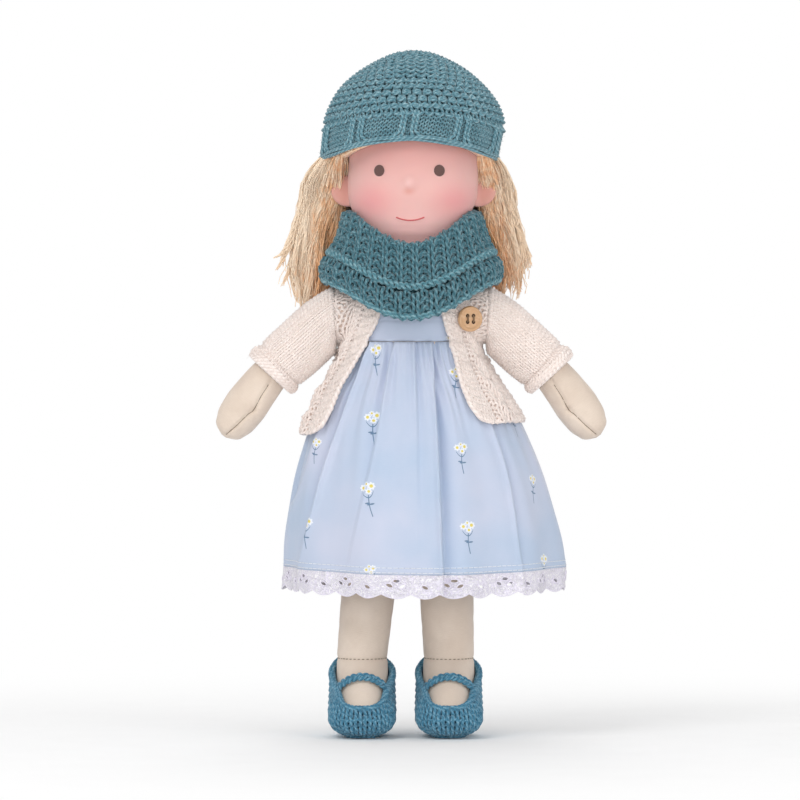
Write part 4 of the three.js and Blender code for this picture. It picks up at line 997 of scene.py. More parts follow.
def knitted_rows(wall, columns, rows, face, depth, relief=None, samples=10, sway=0.2, reach=0.75,
                 low=0.0, high=1.0, row_height=None):
    """The paths of rows of knitting on a wall. A row's yarn goes up one leg of each loop and down the next.
    face gives 1 where a stitch shows its plain side and -1 where it shows its purl side. With a row height in
    millimetres the rows keep it, and end where the wall does."""
    paths = []
    count = columns * samples
    t = np.linspace(0, columns, count + 1)
    turn = TAU * t
    column, part = np.floor(t).astype(int), t - np.floor(t)
    for row in range(rows):
        sides = np.array([face(k % columns, row) for k in range(-1, columns + 2)], float)
        own, before, after = sides[column + 1], sides[column], sides[np.minimum(column + 2, columns + 2)]
        toward_before, toward_after = 0.5 * ease(part, 0.28, 0.0), 0.5 * ease(part, 0.72, 1.0)
        side = own * (1 - toward_before - toward_after) + before * toward_before + after * toward_after
        u = (t + sway * np.sin(2 * turn)) / columns
        level = row + 0.5 - reach * np.cos(turn)
        v = low + (high - low) * level / rows
        if row_height is not None:
            ends = np.append(wall.lengths, wall.lengths[0])
            tall = np.interp(u % 1, np.linspace(0, 1, len(ends)), ends)
            v = np.clip(level * row_height / tall, 0, 1)
        lift = -depth * np.cos(2 * turn) * side
        if relief is not None:
            lift = lift + relief(u, v)
        spots = wall.lifted(u if wall.closed else np.clip(u, 0, 1), v, lift)
        inside = (row + 0.4) * row_height < tall if row_height is not None else np.ones(len(t), bool)
        cuts = np.flatnonzero(np.diff(inside.astype(int))) + 1
        for part_of_row, kept in zip(np.split(spots, cuts), np.split(inside, cuts)):
            if kept[0] and len(part_of_row) > samples:
                paths.append(part_of_row)
    return paths


def yarn_paint(name, dark, middle, light, pitch=2.6, fuzz=0.00016, sheen=0.3):
    """Plied yarn: the plies wind round each other along it, and short fibres blur their edges. The grooves
    between the plies are painted darker, as shade, over the fibres' own random tone.
    """
    paint = Paint(name, Roughness=0.85, Sheen_Weight=sheen, Sheen_Roughness=0.45, Specular_IOR_Level=0.2)
    x, y, _ = paint.split(paint.attribute("turn", "Vector"))
    phase = paint.attribute("along") * (TAU * 1000 / pitch)
    winding = (x * y * 2.0) * phase.cosine() + (x * x - y * y) * phase.sine()
    fibres = paint.noise(paint.place(), 1900.0, 3.0, 0.7, 0.6)
    heather = paint.noise(paint.place(), 210.0, 2.0)
    # Partly painted shade: the winding darkens the grooves between the plies; the fibres and heather are the
    # yarn's own tone
    tone = winding * 0.28 + fibres * 0.75 + heather * 0.45 - 0.1
    colour = paint.mix(tone.eased(0.0, 0.5), ink(dark), ink(middle))
    colour = paint.mix(tone.eased(0.5, 1.0), colour, ink(light))
    return paint.finish(colour, None, winding * 0.5 + fibres * 0.9, fuzz, 0.9)


def halo(wall, count, length, seed, high=1.0, relief=None):
    """Loose fibres that stand off a brushed or woolly surface, each bent over at random."""
    chance = np.random.default_rng(seed)
    u, v = chance.random(count), high * chance.random(count)
    root = wall.lifted(u, v, relief(u, v) if relief else 0.0)
    out = wall.outward(u, v)
    drift = chance.normal(size=(count, 3))
    drift -= out * (drift * out).sum(1, keepdims=True)
    size = length * chance.uniform(0.4, 1.0, count)[:, None]
    bend = chance.normal(size=(count, 3)) * 0.35
    steps = [root + size * (out * rise + drift * slide * 0.8 + bend * slide * slide)
             for rise, slide in ((-0.15, 0.0), (0.35, 0.18), (0.62, 0.5), (0.75, 0.95))]
    return [(np.stack(spots), np.array([1.0, 0.85, 0.6, 0.25])) for spots in zip(*steps)]


COAT_WALL, COAT_TOP, COAT_HEM, COAT_HEM_SLOPE = 2.2, 201.6, 137.5, 0.06
COAT_NECK_RADIUS, SLEEVE_RADIUS, COAT_GIRTH, COAT_LENGTH, CORNER_RADIUS = 19.2, 12.6, 205.0, 64.0, 8.5
CABLE_MIDDLE, CABLE_SWING, CABLE_PITCH = 17.0, 3.2, 22.0
OPENING_HEIGHTS = (130, 134, 145, 156, 169, 184, 202)
OPENING_LEFTS = (31.5, 31, 27.5, 23, 19.6, 15.5, 11)
OPENING_RIGHTS = (41.5, 40.5, 36.5, 32, 24, 16, 11)
COAT_COLUMNS, COAT_ROWS, BAND_STITCHES = 76, 30, 4
mohair = yarn_paint("cream mohair", "#e2d2c9", "#f0e2db", "#fbf2ed", pitch=3.0, sheen=0.5)
# Painted shade: a darker copy of the same mohair, for the sheet that shows between the stitches
backing_mohair_painted_shade = yarn_paint("cream mohair backing painted shade", "#b9a295", "#cdb7aa", "#dccabf", pitch=3.0, sheen=0.2)


def coat_radius(a, height):
    """The cardigan's reach from the doll's middle line, over the skirt, the body and the shoulders."""
    share = np.clip((height - HEM_HEIGHT) / (SKIRT_TOP - HEM_HEIGHT), 0, 1)
    skirt = through(SKIRT_SHARES, share) * (SKIRT_HALF_WIDTH, SKIRT_HALF_DEPTH)
    widths, depths = torso_size(np.clip(height, TORSO_LOW, TORSO_TOP))
    over = ease(height, WAIST_HEIGHT - 2, WAIST_HEIGHT + 2)
    folds = FOLD_DEPTH * (1 - share)
    wide = (skirt[..., 0] + folds) * (1 - over) + (widths + 1.0) * over + COAT_WALL + 0.6
    deep = (skirt[..., 1] + folds) * (1 - over) + (depths + 1.0) * over + COAT_WALL + 0.6
    body = 1 / np.sqrt((np.cos(a) / wide) ** 2 + (np.sin(a) / deep) ** 2)
    bar_half = np.sqrt(np.clip(SLEEVE_RADIUS ** 2 - (height - SHOULDER_HEIGHT) ** 2, 0.04, None))
    bar = np.minimum(SHOULDER_REACH / np.maximum(np.abs(np.cos(a)), 1e-3),
                     bar_half / np.maximum(np.abs(np.sin(a)), 1e-3))
    return (body ** 12 + bar ** 12) ** (1 / 12)


def coat_line(u):
    """The places up the cardigan at a share of the way round from its left front edge to its right one."""
    height = np.linspace(COAT_HEM - 4, COAT_TOP, 160)
    share = np.clip((height - HEM_HEIGHT) / (SKIRT_TOP - HEM_HEIGHT), 0, 1)
    middle = SKIRT_DRIFT * (1 - share)
    edges = []
    for way, table in ((1, OPENING_LEFTS), (-1, OPENING_RIGHTS)):
        x = way * np.interp(height, OPENING_HEIGHTS, table)
        turn = np.full_like(height, 0.8)
        for _ in range(12):
            cosine = np.abs(x - middle) / coat_radius(-TAU / 4 + way * turn, height)
            turn = 0.5 * turn + 0.5 * np.arcsin(np.clip(cosine, 0, 1))
        edges.append(turn)
    a = -TAU / 4 + edges[0] + u * (TAU - edges[0] - edges[1])
    radius = coat_radius(a, height)
    line = np.stack([middle + radius * np.cos(a), radius * np.sin(a), height], 1)
    keep = np.hypot(line[:, 0] * 0.8, line[:, 1]) > COAT_NECK_RADIUS * 0.8
    keep |= height < SHOULDER_HEIGHT
    line = line[keep]
    from_edge = min(u, 1 - u) * COAT_GIRTH
    corner = CORNER_RADIUS - math.sqrt(max(CORNER_RADIUS ** 2 - max(CORNER_RADIUS - from_edge, 0) ** 2, 0))
    low = COAT_HEM + COAT_HEM_SLOPE * line[:, 0] + corner
    return line[line[:, 2] >= low]


def even_count(line, count=150):
    """The line with its places thinned out or filled in to a number of them."""
    share = np.linspace(0, len(line) - 1, count)
    return np.stack([np.interp(share, np.arange(len(line)), line[:, k]) for k in range(3)], 1)


coat_wall = Wall(np.stack([even_count(coat_line(u)) for u in np.linspace(0, 1, 181)]), closed=False)


def coat_relief(u, v):
    """The front bands stand up in ridges, and beside each a cable crosses itself."""
    from_edge = np.minimum(u, 1 - u) * COAT_GIRTH
    twist = TAU * v * COAT_LENGTH / CABLE_PITCH
    band = ease(from_edge, 11.0, 9.5) * (0.3 + 0.8 * np.cos(TAU * (v * COAT_ROWS / 2 - 0.25)))
    cable = sum((1.3 + way * 0.7 * np.sin(twist)) *
                bell(from_edge, CABLE_MIDDLE + way * CABLE_SWING * np.cos(twist), 2.2) for way in (1, -1))
    beside = -0.4 * (bell(from_edge, 11.4, 1.0) + bell(from_edge, 23.0, 1.2))
    return band + (cable + beside) * ease(v, 0.72, 0.5) - 0.8


def coat_face(column, row):
    """1 for a plain stitch and -1 for a purl one."""
    from_edge = min(column, COAT_COLUMNS - 1 - column)
    if from_edge < BAND_STITCHES:
        return 1 if row % 2 else -1
    return -1 if from_edge in (BAND_STITCHES, BAND_STITCHES + 4) else 1


# The backing sheet under the stitches carries the mohair's painted shade
coat_lining = coat_wall.lining("coat_lining", backing_mohair_painted_shade, 0.1, 1.9, 150, 56, 0.004, 0.996, coat_relief)
rows = knitted_rows(coat_wall, COAT_COLUMNS, COAT_ROWS, coat_face, 0.5, coat_relief, samples=8)
up = np.linspace(0, 1, 120)
edges = [coat_wall.lifted(u, up, -0.9 + 0.25 * np.sin(up * 150)) for u in (0.0, 1.0)]
round_hem = np.linspace(0, 1, 260)
edges.append(coat_wall.lifted(round_hem, 0.006, -0.9 + 0.2 * np.sin(round_hem * 240)))
edge = threads("coat_edge", edges, 1.05, 7, mohair)
coat = threads("cardigan_knitted", rows, 0.74, 4, mohair, join=(coat_lining, edge))
nap = threads("cardigan_nap", halo(coat_wall, 3200, 1.4, 11, relief=coat_relief), 0.035, 3, mohair)
for piece in (coat, nap):
    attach(piece, "torso")
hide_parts("cardigan")

# Sleeves: knitted round from the same mohair in plain stitch, set on at the shoulder, with a rolled cuff.
# They are tight enough on the arms to swing with them.
SLEEVE_END_SHARE = 0.64
SLEEVE_SHARES = [(0, 1.0), (0.2, 1.0), (0.45, 1.01), (0.7, 1.0), (0.88, 0.97), (1, 0.93)]
SLEEVE_COLUMNS, SLEEVE_ROWS, CUFF_FROM = 32, 22, 0.1
CUFF_ROUNDS = [(0.012, -0.9), (0.018, 0.1), (0.05, 0.5), (0.082, 0.35)]
for side, way in SIDES.items():
    up = np.linspace(0.012, 1, 80)
    radii = through(SLEEVE_SHARES, up)[:, 0] * SLEEVE_RADIUS
    radii = radii + 0.9 * ease(up, 0.86, 0.93) - 1.0 * bell(up, 0.86, 0.02)
    rings = arm_rings(up * SLEEVE_END_SHARE, radii - 0.7, radii - 0.7, 120) * (way, 1, 1)
    lines = np.moveaxis(rings[::-1], 0, 1)
    sleeve_wall = Wall(lines if way > 0 else lines[::-1])
    # The sleeve's backing sheet carries the mohair's painted shade
    lining = sleeve_wall.lining("sleeve_lining", backing_mohair_painted_shade, 0.3, 1.9, 120, 60)
    body = knitted_rows(sleeve_wall, SLEEVE_COLUMNS, SLEEVE_ROWS, lambda column, row: 1, 0.6, low=CUFF_FROM,
                        samples=9, reach=0.74)
    turn = np.linspace(0, TAU, 241)
    cuff = []
    for k, (level, lift) in enumerate(CUFF_ROUNDS):
        wave = turn * SLEEVE_COLUMNS + k * 1.6
        cuff.append(sleeve_wall.lifted(turn / TAU, level + 0.006 * np.sin(wave), lift + 0.18 * np.cos(wave)))
    cuff = threads("sleeve_cuff", cuff, 1.0, 7, mohair)
    fibres = threads("sleeve_fibres", halo(sleeve_wall, 2000, 1.4, 12), 0.035, 3, mohair)
    sleeve = threads(f"sleeve_{side}_knitted", body, 0.7, 5, mohair, join=(lining, cuff, fibres))
    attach(sleeve, f"arm_{side}")
    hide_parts(f"sleeve_{side}")

# Button: turned from pale maple with a rounded rim round a shallow dish.
# It is sewn to the cardigan's left front with two bars of thread through its four holes.
low, high = (np.array(corner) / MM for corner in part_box("button"))
BUTTON_RADIUS, BUTTON_THICK, BUTTON_TURN = 5.7, 2.2, 0.122 * math.pi
HOLE_RADIUS, HOLE_SPACING = 0.72, 1.4
# The lathe's cut from the back's middle over the rim to the dish's middle: share of the radius, height
BUTTON_CUT = [
    (0.06, 0.0), (0.84, 0.0), (0.95, 0.15), (1.0, 0.6), (1.0, 1.2), (0.985, 1.65), (0.94, 2.02),
    (0.87, 2.2), (0.8, 2.12), (0.75, 1.85), (0.7, 1.68), (0.62, 1.6), (0.45, 1.57), (0.3, 1.56),
    (0.15, 1.56), (0.05, 1.56),
]
HOLE_CUT = [(1.22, 1.58), (1.15, 1.64), (1.0, 1.63), (0.85, 1.6), (0.3, 1.59)]
button_face = np.array([math.sin(BUTTON_TURN), -math.cos(BUTTON_TURN), 0])
button_across = np.array([math.cos(BUTTON_TURN), math.sin(BUTTON_TURN), 0])
BUTTON_CENTRE = (low + high) / 2 - button_face * BUTTON_THICK / 2


def on_button(x, z, lift):
    """Places on the button's face, off its middle and lifted from its back."""
    x, z, lift = (part[..., None] for part in np.broadcast_arrays(x, z, lift))
    return BUTTON_CENTRE + x * button_across + z * np.array([0, 0, 1]) + lift * button_face


def turned(name, x, z, radius, cut, sides, material):
    """A round shape about a place on the button's face."""
    a = around(sides)
    rings = [on_button(x + size * radius * np.cos(a), z + size * radius * np.sin(a), lift)
             for size, lift in cut]
    return lofted(name, rings, material)


paint = Paint("button maple", Roughness=0.42, Coat_Weight=0.25, Coat_Roughness=0.3)
spot = paint.scaled(paint.place(), (160, 160, 700))
grain = paint.noise(spot, 1.6, 4.0, 0.6, 0.8)
rings_of_wood = (grain * 9.0).sine()
colour = paint.mix(rings_of_wood * 0.35 + grain * 0.6, ink("#cda177"), ink("#ebcfae"))
button_wood = paint.finish(colour, 0.36 + grain * 0.2, rings_of_wood, 0.00003)
disc = turned("button_disc", 0, 0, BUTTON_RADIUS, BUTTON_CUT, 96, button_wood)
# Painted shade: the four holes are dark brown discs set in the dish, standing for the shade inside them
paint = Paint("button pit painted shade", Roughness=0.9)
dark = paint.finish(paint.mix(paint.noise(paint.place(), 900.0), ink("#3a281c"), ink("#5a4130")))
pits, bars = [], []
for x in (-HOLE_SPACING, HOLE_SPACING):
    for z in (-HOLE_SPACING, HOLE_SPACING):
        pits.append(turned("button_pit_painted_shade", x, z, HOLE_RADIUS, HOLE_CUT, 20, dark))
    for off in (-0.2, 0.2):
        z = np.linspace(-1, 1, 13) * HOLE_SPACING
        bars.append(on_button(x + off, z, 1.62 + 0.5 * (1 - (z / HOLE_SPACING) ** 4)))
button = threads("button_turned", bars, 0.2, 6, stitch_paint("button thread", "#8b6c4b"), join=(disc, *pits))
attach(button, "torso")
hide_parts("button")

# Cowl: a tube of thick teal wool in rib, folded over into two tiers and drawn round the neck.
# Each free edge is finished with a rope of two strands.
# Each row: step from the outside's bottom over the fold and down the inside, share outwards, share upwards
COWL_SHARES = [
    (0, 0.94, 0.0), (1, 1, 0.08), (2, 1, 0.2), (3, 0.93, 0.31), (4, 0.58, 0.38), (5, 0.83, 0.41),
    (6, 0.7, 0.54), (7, 0.58, 0.74), (8, 0.51, 0.92), (9, 0.43, 1.0), (10, 0.33, 0.93), (11, 0.2, 0.7),
    (12, 0.06, 0.4), (13, 0.0, 0.2),
]
# Three places each across the underside, outside and inside of it: share outwards, share upwards
COWL_BASE = [[(0.14, 0.18), (0.55, 0.0), (0.9, 0.06)], [(0.1, 0.24), (0.5, 0.1), (0.86, 0.12)]]
COWL_COLUMNS, COWL_ROWS, COWL_FOLD_ROW = 60, 18, 4


def cowl_mix(a, side, front, back):
    """A measure at an angle, from what it is at the side, in front and behind."""
    away = np.sin(a)
    return side + (np.where(away < 0, front, back) - side) * np.abs(away) ** 3


def cowl_places(a, out, up):
    """Places at shares from the cowl's inner to its outer edge and from its bottom to its top."""
    radius = cowl_mix(a, 22, 26.5, 26.5) * (1 - out) + cowl_mix(a, 40.5, 38.5, 37) * out
    height = cowl_mix(a, 201.8, 185.5, 190) * (1 - up) + cowl_mix(a, 232.5, 218.5, 230) * up
    return np.stack([radius * np.cos(a), radius * np.sin(a), height], -1)


# Painted shade: the cowl's teal wool is painted darker than the hat's, for the shade in its deep stitches
cowl_wool_painted_darker = yarn_paint("teal wool", "#274e59", "#48727e", "#84a9b2")
# Painted light: the same teal wool, painted lighter for the edges and stray fibres that catch the light
edge_wool_painted_lighter = yarn_paint("teal edge yarn painted lighter", "#33606c", "#5c8a96", "#97bac1", pitch=2.4, fuzz=0.00014)
# Painted shade: a dark copy of the same teal wool, for the sheets that show between the stitches and under
# the cowl
backing_wool_painted_shade = yarn_paint("teal backing painted shade", "#1d3f48", "#2b525d", "#41707b", sheen=0.1)
a = around(180)
outline = through(COWL_SHARES, np.linspace(0, 13, 90))
crumple = np.outer(0.7 * np.sin(5 * a + 1.0), bell(outline[:, 1], 0.7, 0.25))
crumple += np.outer(0.5 * np.sin(9 * a), bell(outline[:, 1], 0.2, 0.2))
lines = cowl_places(a[:, None], outline[:, 0] - 0.018, outline[:, 1])
lines = lines + outwards(a)[:, None] * (crumple - 0.7)[..., None]
cowl_wall = Wall(lines)
# The cowl's backing sheet carries the wool's painted shade
lining = cowl_wall.lining("cowl_lining", backing_wool_painted_shade, 1.1, 2.4, 100, 52)
outer, inner = (np.array([cowl_places(a, out, up) for out, up in face]) for face in COWL_BASE)
# The cowl's underside carries the wool's painted shade
base = shell("cowl_base", outer, inner, backing_wool_painted_shade)


def cowl_relief(u, v):
    """The ribs, which flatten in the fold."""
    return 0.45 * np.cos(TAU * u * COWL_COLUMNS / 2) * (1 - 0.9 * bell(v, 0.66, 0.1))


rows = knitted_rows(cowl_wall, COWL_COLUMNS, COWL_ROWS, lambda column, row: 1 if column % 2 else -1, 0.95,
                    cowl_relief, reach=0.76)
# Painted shadow: two rows under the upper tier's edge are left out, so the dark backing shows there as the
# shadow line below it
rows = rows[:COWL_FOLD_ROW - 1] + rows[COWL_FOLD_ROW + 1:]
turn = np.linspace(0, TAU, 541)
steps = np.linalg.norm(np.diff(lines, axis=1), axis=2)
tier_edge = steps[:, :35].sum(1) / steps.sum(1)
tier_edge = np.interp(turn, np.linspace(0, TAU, 181), np.append(tier_edge, tier_edge[0]))
ropes = []
for level, out in ((0.012, 0.35), (tier_edge, 0.8)):
    for strand in (0, math.pi):
        wind = 46 * turn + strand
        ropes.append(cowl_wall.lifted(turn / TAU, level + 0.010 * np.cos(wind), out + 0.55 * np.sin(wind)))
# The edge ropes carry the wool painted lighter
rope = threads("cowl_edges", ropes, 0.85, 6, edge_wool_painted_lighter)
fibres = threads("cowl_fibres", halo(cowl_wall, 2100, 1.5, 13, high=0.8), 0.04, 3, edge_wool_painted_lighter)
cowl = threads("cowl_knitted", rows, 0.86, 5, cowl_wool_painted_darker, join=(lining, base, rope, fibres))
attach(cowl, "torso")
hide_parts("cowl")

# Hat: a cap of the same teal wool. Its crown is knitted in purl, gathered at the top and leans to the left.
# Its band has ten pairs of ribs, and its edge rolls.
# Each row: share of its height, share of its half width and depth, lean to the left
HAT_TOP, HAT_HALF_WIDTH, HAT_HALF_DEPTH, HAT_Y, HAT_LEAN = 305.0, 40.0, 35.75, 3.25, 2.3
HAT_SHARES = [
    (0, 1.0, -0.4), (0.15, 1.015, 0.0), (0.3, 1.015, 0.5), (0.42, 0.985, 0.6), (0.5, 0.945, 0.6),
    (0.585, 0.885, 0.5), (0.67, 0.805, 0.4), (0.75, 0.705, 0.4), (0.835, 0.57, 0.5), (0.918, 0.39, 0.5),
    (0.965, 0.26, 0.5), (0.988, 0.16, 0.5), (1, 0.04, 0.5),
]
HAT_GIRTH, CROWN_STITCH, RIBS, RIB_TURN = 246.0, 4.4, 10, 0.0445
BAND_HIGH, BAND_ROWS, BAND_COLUMNS, CROWN_ROWS = 0.2, 6, 110, 15
# Painted light: the same teal wool, painted lighter than the cowl's, for the light falling from above on the
# hat
hat_yarn_painted_lighter = yarn_paint("teal hat yarn painted lighter", "#3a6572", "#648e9b", "#a6c6cd")


def brim_height(a):
    """The height of the hat's edge at an angle: high on the brow and low at the back."""
    back = np.sin(a)
    return 256.0 + np.where(back < 0, 8.0, -7.0) * back * back


a = around(180)[:, None]
share = np.linspace(0, 1, 120)[None, :].repeat(180, 0)
size, lean = np.moveaxis(through(HAT_SHARES, share), -1, 0)
bottom = brim_height(a)
hat_wall = Wall(np.stack([HAT_LEAN * lean + (size * HAT_HALF_WIDTH - 1.0) * np.cos(a),
                          HAT_Y + (size * HAT_HALF_DEPTH - 1.0) * np.sin(a),
                          bottom + (HAT_TOP - 1.4 - bottom) * share], -1))


def band_relief(u, v):
    """The band bulges between its ribs."""
    return -0.5 - 0.3 * np.cos(TAU * (u - RIB_TURN) * RIBS)


# The hat's backing sheet carries the wool's painted shade
lining = hat_wall.lining("hat_lining", backing_wool_painted_shade, 1.2, 2.5, 110, 52, 0.0, 0.995)
band = knitted_rows(hat_wall, BAND_COLUMNS, BAND_ROWS, lambda column, row: -1, 0.32, band_relief, samples=7,
                    low=0.02, high=BAND_HIGH)
v = np.linspace(0.008, BAND_HIGH + 0.012, 44)
ribs = []
for rib in range(RIBS):
    for way in (-1, 1):
        for across, spread in ((1.7, 1.4), (3.3, 4.2)):
            off = across + spread * ease(v, 0.085, 0.0) ** 1.5 + 0.22 * np.sin(v * 230 + across)
            u = rib / RIBS + RIB_TURN + way * off / HAT_GIRTH
            ribs.append(hat_wall.lifted(u, v, 0.42 - 0.35 * ease(v, 0.05, 0.0)))
crown = []
row_height = (1 - BAND_HIGH) / CROWN_ROWS
for row in range(CROWN_ROWS):
    v = BAND_HIGH + row * row_height
    girth = np.linalg.norm(np.diff(hat_wall(np.linspace(0, 1, 91), v + row_height / 2), axis=0), axis=1).sum()
    last = row == CROWN_ROWS - 1
    crown += knitted_rows(hat_wall, max(8, round(girth / CROWN_STITCH)), 1, lambda column, row: -1,
                          0.3 if last else 0.75, low=v, high=v + row_height, reach=0.5 if last else 0.75)
drawn = np.linspace(0, TAU, 37)
crown += [hat_wall.lifted(drawn / TAU, level, -0.5) for level in (0.975, 0.999)]
a = np.linspace(0, TAU, 401)
rolled = []
for strand in range(5):
    tilt = strand * TAU / 5
    wave = 10 * a + tilt
    level = 0.008 + 0.016 * np.cos(tilt) + 0.003 * np.cos(wave)
    rolled.append(hat_wall.lifted(a / TAU, level, 0.15 + 0.7 * np.sin(tilt)))
edge = threads("hat_edge", rolled, 0.55, 6, hat_yarn_painted_lighter)
band = threads("hat_band", band, 0.5, 4, hat_yarn_painted_lighter)
ribs = threads("hat_ribs", ribs, 0.74, 6, hat_yarn_painted_lighter)
fibres = threads("hat_fibres", halo(hat_wall, 2100, 1.3, 14), 0.04, 3, edge_wool_painted_lighter)
hat = threads("hat_knitted", crown, 0.78, 5, hat_yarn_painted_lighter, join=(lining, edge, band, ribs, fibres))
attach(hat, "hat")
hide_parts("hat")

# Shoes: crocheted in rounds from thick blue-teal cotton, from the middle of the sole outwards and up.
# The opening's edge is a cord of three strands, and a plaited strap crosses the instep.
SHOE_EASE, SHOE_WALL = 0.5, 2.4
HEEL_HEIGHT, HEEL_Y, VAMP_HEIGHT, VAMP_Y = 35.0, 15.0, 14.4, -30.0
STRAP_Y, STRAP_HEIGHT, PLAIT_PITCH = -19.0, 25.8, 8.5
SHOE_MIDDLE_Y, ROUND_HEIGHT, SHOE_COLUMNS, SHOE_LINES = -10.0, 2.9, 36, 121
WALL_LOW, WALL_HIGH, WALL_STEP, WALL_ROUNDS, SOLE_HEIGHT, SOLE_ROUNDS = 2.0, 36, 0.45, 13, 0.95, 8
# The sole under the rounds: share of the outline, height
SOLE_CUT = [
    (0.06, 0.5), (0.5, 0.5), (0.92, 0.5), (0.985, 1.1), (0.995, 1.7), (0.96, 2.1), (0.5, 2.0), (0.06, 2.0),
]
shoe_yarn = yarn_paint("shoe cotton", "#2c5a70", "#4c839e", "#8ab4c6", fuzz=0.00012, sheen=0.2)
# Painted shade: a dark copy of the same cotton, for the sheet that shows between the stitches
backing_cotton_painted_shade = yarn_paint("shoe cotton backing painted shade", "#17384a", "#28556a", "#3f7188", fuzz=0.00012, sheen=0.1)


def foot_surface(ankle_x, grow):
    """A surface to cast rays on, all round the foot at a distance."""
    rings = foot_rings(ankle_x, np.linspace(7, 0, 50), grow, 64)
    rings[0] -= (0, grow, 0)
    top = rings[-1] + (0, 0, 12)
    solid = lofted("foot_last", [*rings, top], None)
    mesh = solid.data
    tree = BVHTree.FromPolygons([v.co / MM for v in mesh.vertices], [p.vertices for p in mesh.polygons])
    bpy.data.objects.remove(solid)
    return tree


def outer_hit(tree, middle, way):
    """Where a ray from outside towards the middle meets the surface."""
    way = Vector(way)
    hit = tree.ray_cast(Vector(middle) + way * 90, -way)[0]
    return np.array(hit) if hit is not None else np.array(middle)


for side in SIDES:
    ankle_x = ANKLE_XS[side]
    last = foot_surface(ankle_x, SHOE_EASE + SHOE_WALL - 0.7)
    lines = []
    for turn in -TAU / 4 + (np.arange(SHOE_LINES) + 0.37) / SHOE_LINES * TAU:
        line = []
        for height in np.arange(WALL_LOW, WALL_HIGH, WALL_STEP):
            spot = outer_hit(last, (ankle_x, SHOE_MIDDLE_Y, height), (math.cos(turn), math.sin(turn), 0))
            top = VAMP_HEIGHT + (spot[1] - VAMP_Y) * (HEEL_HEIGHT - VAMP_HEIGHT) / (HEEL_Y - VAMP_Y)
            if line and height > top:
                break
            line.append(spot)
        lines.append(even_count(np.array(line), 60))
    lines = np.array(lines)
    lines = (lines + np.roll(lines, 1, 0) + np.roll(lines, -1, 0)) / 3
    shoe_wall = Wall(lines, steps=60)
    rows = knitted_rows(shoe_wall, SHOE_COLUMNS, WALL_ROUNDS, lambda column, row: 1, 0.5, samples=9,
                        sway=0.16, reach=0.6, row_height=ROUND_HEIGHT)
    # The shoe's backing sheet carries the cotton's painted shade
    lining = shoe_wall.lining("shoe_lining", backing_cotton_painted_shade, 0.6, 1.6, 110, 30, 0.0, 0.985)
    outline = lines[:, 0]
    centre = outline.mean(0) * (1, 1, 0)
    spread = (outline - centre) * (1, 1, 0)
    rings = [centre + spread * size + (0, 0, height) for size, height in SOLE_CUT]
    sole = lofted("shoe_sole", rings, shoe_yarn)
    middle = centre + (0, 0, SOLE_HEIGHT)
    rows.append(middle + np.outer(np.linspace(-4.5, 4.5, 10), (0, 1, 0)))
    for k in range(SOLE_ROUNDS):
        size = 0.17 + 0.107 * k
        turn = np.linspace(0, SHOE_LINES, round(20 + 100 * size)).astype(int) % SHOE_LINES
        ripple = 1 + 0.035 * np.sin(np.arange(len(turn)) * 1.9 + k)
        round_of_sole = middle + spread[turn] * size * ripple[:, None]
        round_of_sole[-1] = round_of_sole[0]
        rows.append(round_of_sole)
    a = np.linspace(0, TAU, 401)
    for strand in range(3):
        wind = 26 * a + strand * TAU / 3
        rows.append(shoe_wall.lifted(a / TAU, 0.99 + 0.04 * np.cos(wind), -0.1 + 0.8 * np.sin(wind)))
    shoe = threads(f"shoe_{side}_crocheted", rows, 0.88, 6, shoe_yarn, join=(lining, sole))
    band = foot_surface(ankle_x, SHOE_EASE + 1.3)
    forward = np.array([0, -math.sqrt(0.5), math.sqrt(0.5)])
    middle = np.array([ankle_x, STRAP_Y + 9, STRAP_HEIGHT - 9])
    route = np.array([outer_hit(band, middle, math.cos(turn) * np.array([1, 0, 0]) + math.sin(turn) * forward)
                      for turn in np.linspace(-0.16, math.pi + 0.16, 90)])
    out = route - middle
    out = out / np.linalg.norm(out, axis=1, keepdims=True)
    wide = np.array([0, math.sqrt(0.5), math.sqrt(0.5)])
    plait = []
    for strand in range(3):
        wind = climbed(route[:, None]) * TAU / PLAIT_PITCH + strand * TAU / 3
        plait.append(route + 1.35 * np.sin(wind)[:, None] * wide + (0.5 * np.sin(2 * wind))[:, None] * out)
    strap = threads(f"shoe_strap_{side}_plaited", plait, 0.8, 7, shoe_yarn)
    for piece, node in ((shoe, f"shoe_{side}"), (strap, f"shoe_strap_{side}")):
        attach(piece, f"shoe_{side}")
        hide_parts(node)

# Hair: lengths of honey-coloured mohair, sewn to the head in rows under the hat and left loose.
# It lies in locks that thin out to wisps, a few of which flick outwards.
HAIR_RADIUS = 0.21
paint = Paint("mohair hair", Roughness=0.5, Specular_IOR_Level=0.35, Sheen_Weight=0.25)
place_of_hair = paint.place()
x, y, z = paint.split(place_of_hair)
streaks = paint.noise(paint.scaled(place_of_hair, (1, 1, 0.12)), 420.0, 3.0, 0.6)
fine = paint.noise(paint.scaled(place_of_hair, (1, 1, 0.3)), 1500.0, 2.0)
# Painted light and shade: the hair is painted lighter on the outside of the locks and towards the top, and
# darker deep inside; the streaks are its own tone
painted_light_outside_and_top = (x * x + y * y).root().eased(0.035, 0.052) * 0.5 + z.eased(0.2, 0.25) * 0.35
tone = (painted_light_outside_and_top + streaks * 1.0 + fine * 0.5 - 0.42).eased(0.0, 1.0)
colour = paint.mix(tone.eased(0.0, 0.5), ink("#cf8342"), ink("#f1bb8a"))
colour = paint.mix(tone.eased(0.5, 1.0), colour, ink("#ffe8cd"))
hair_paint = paint.finish(colour, 0.42 + fine * 0.2)


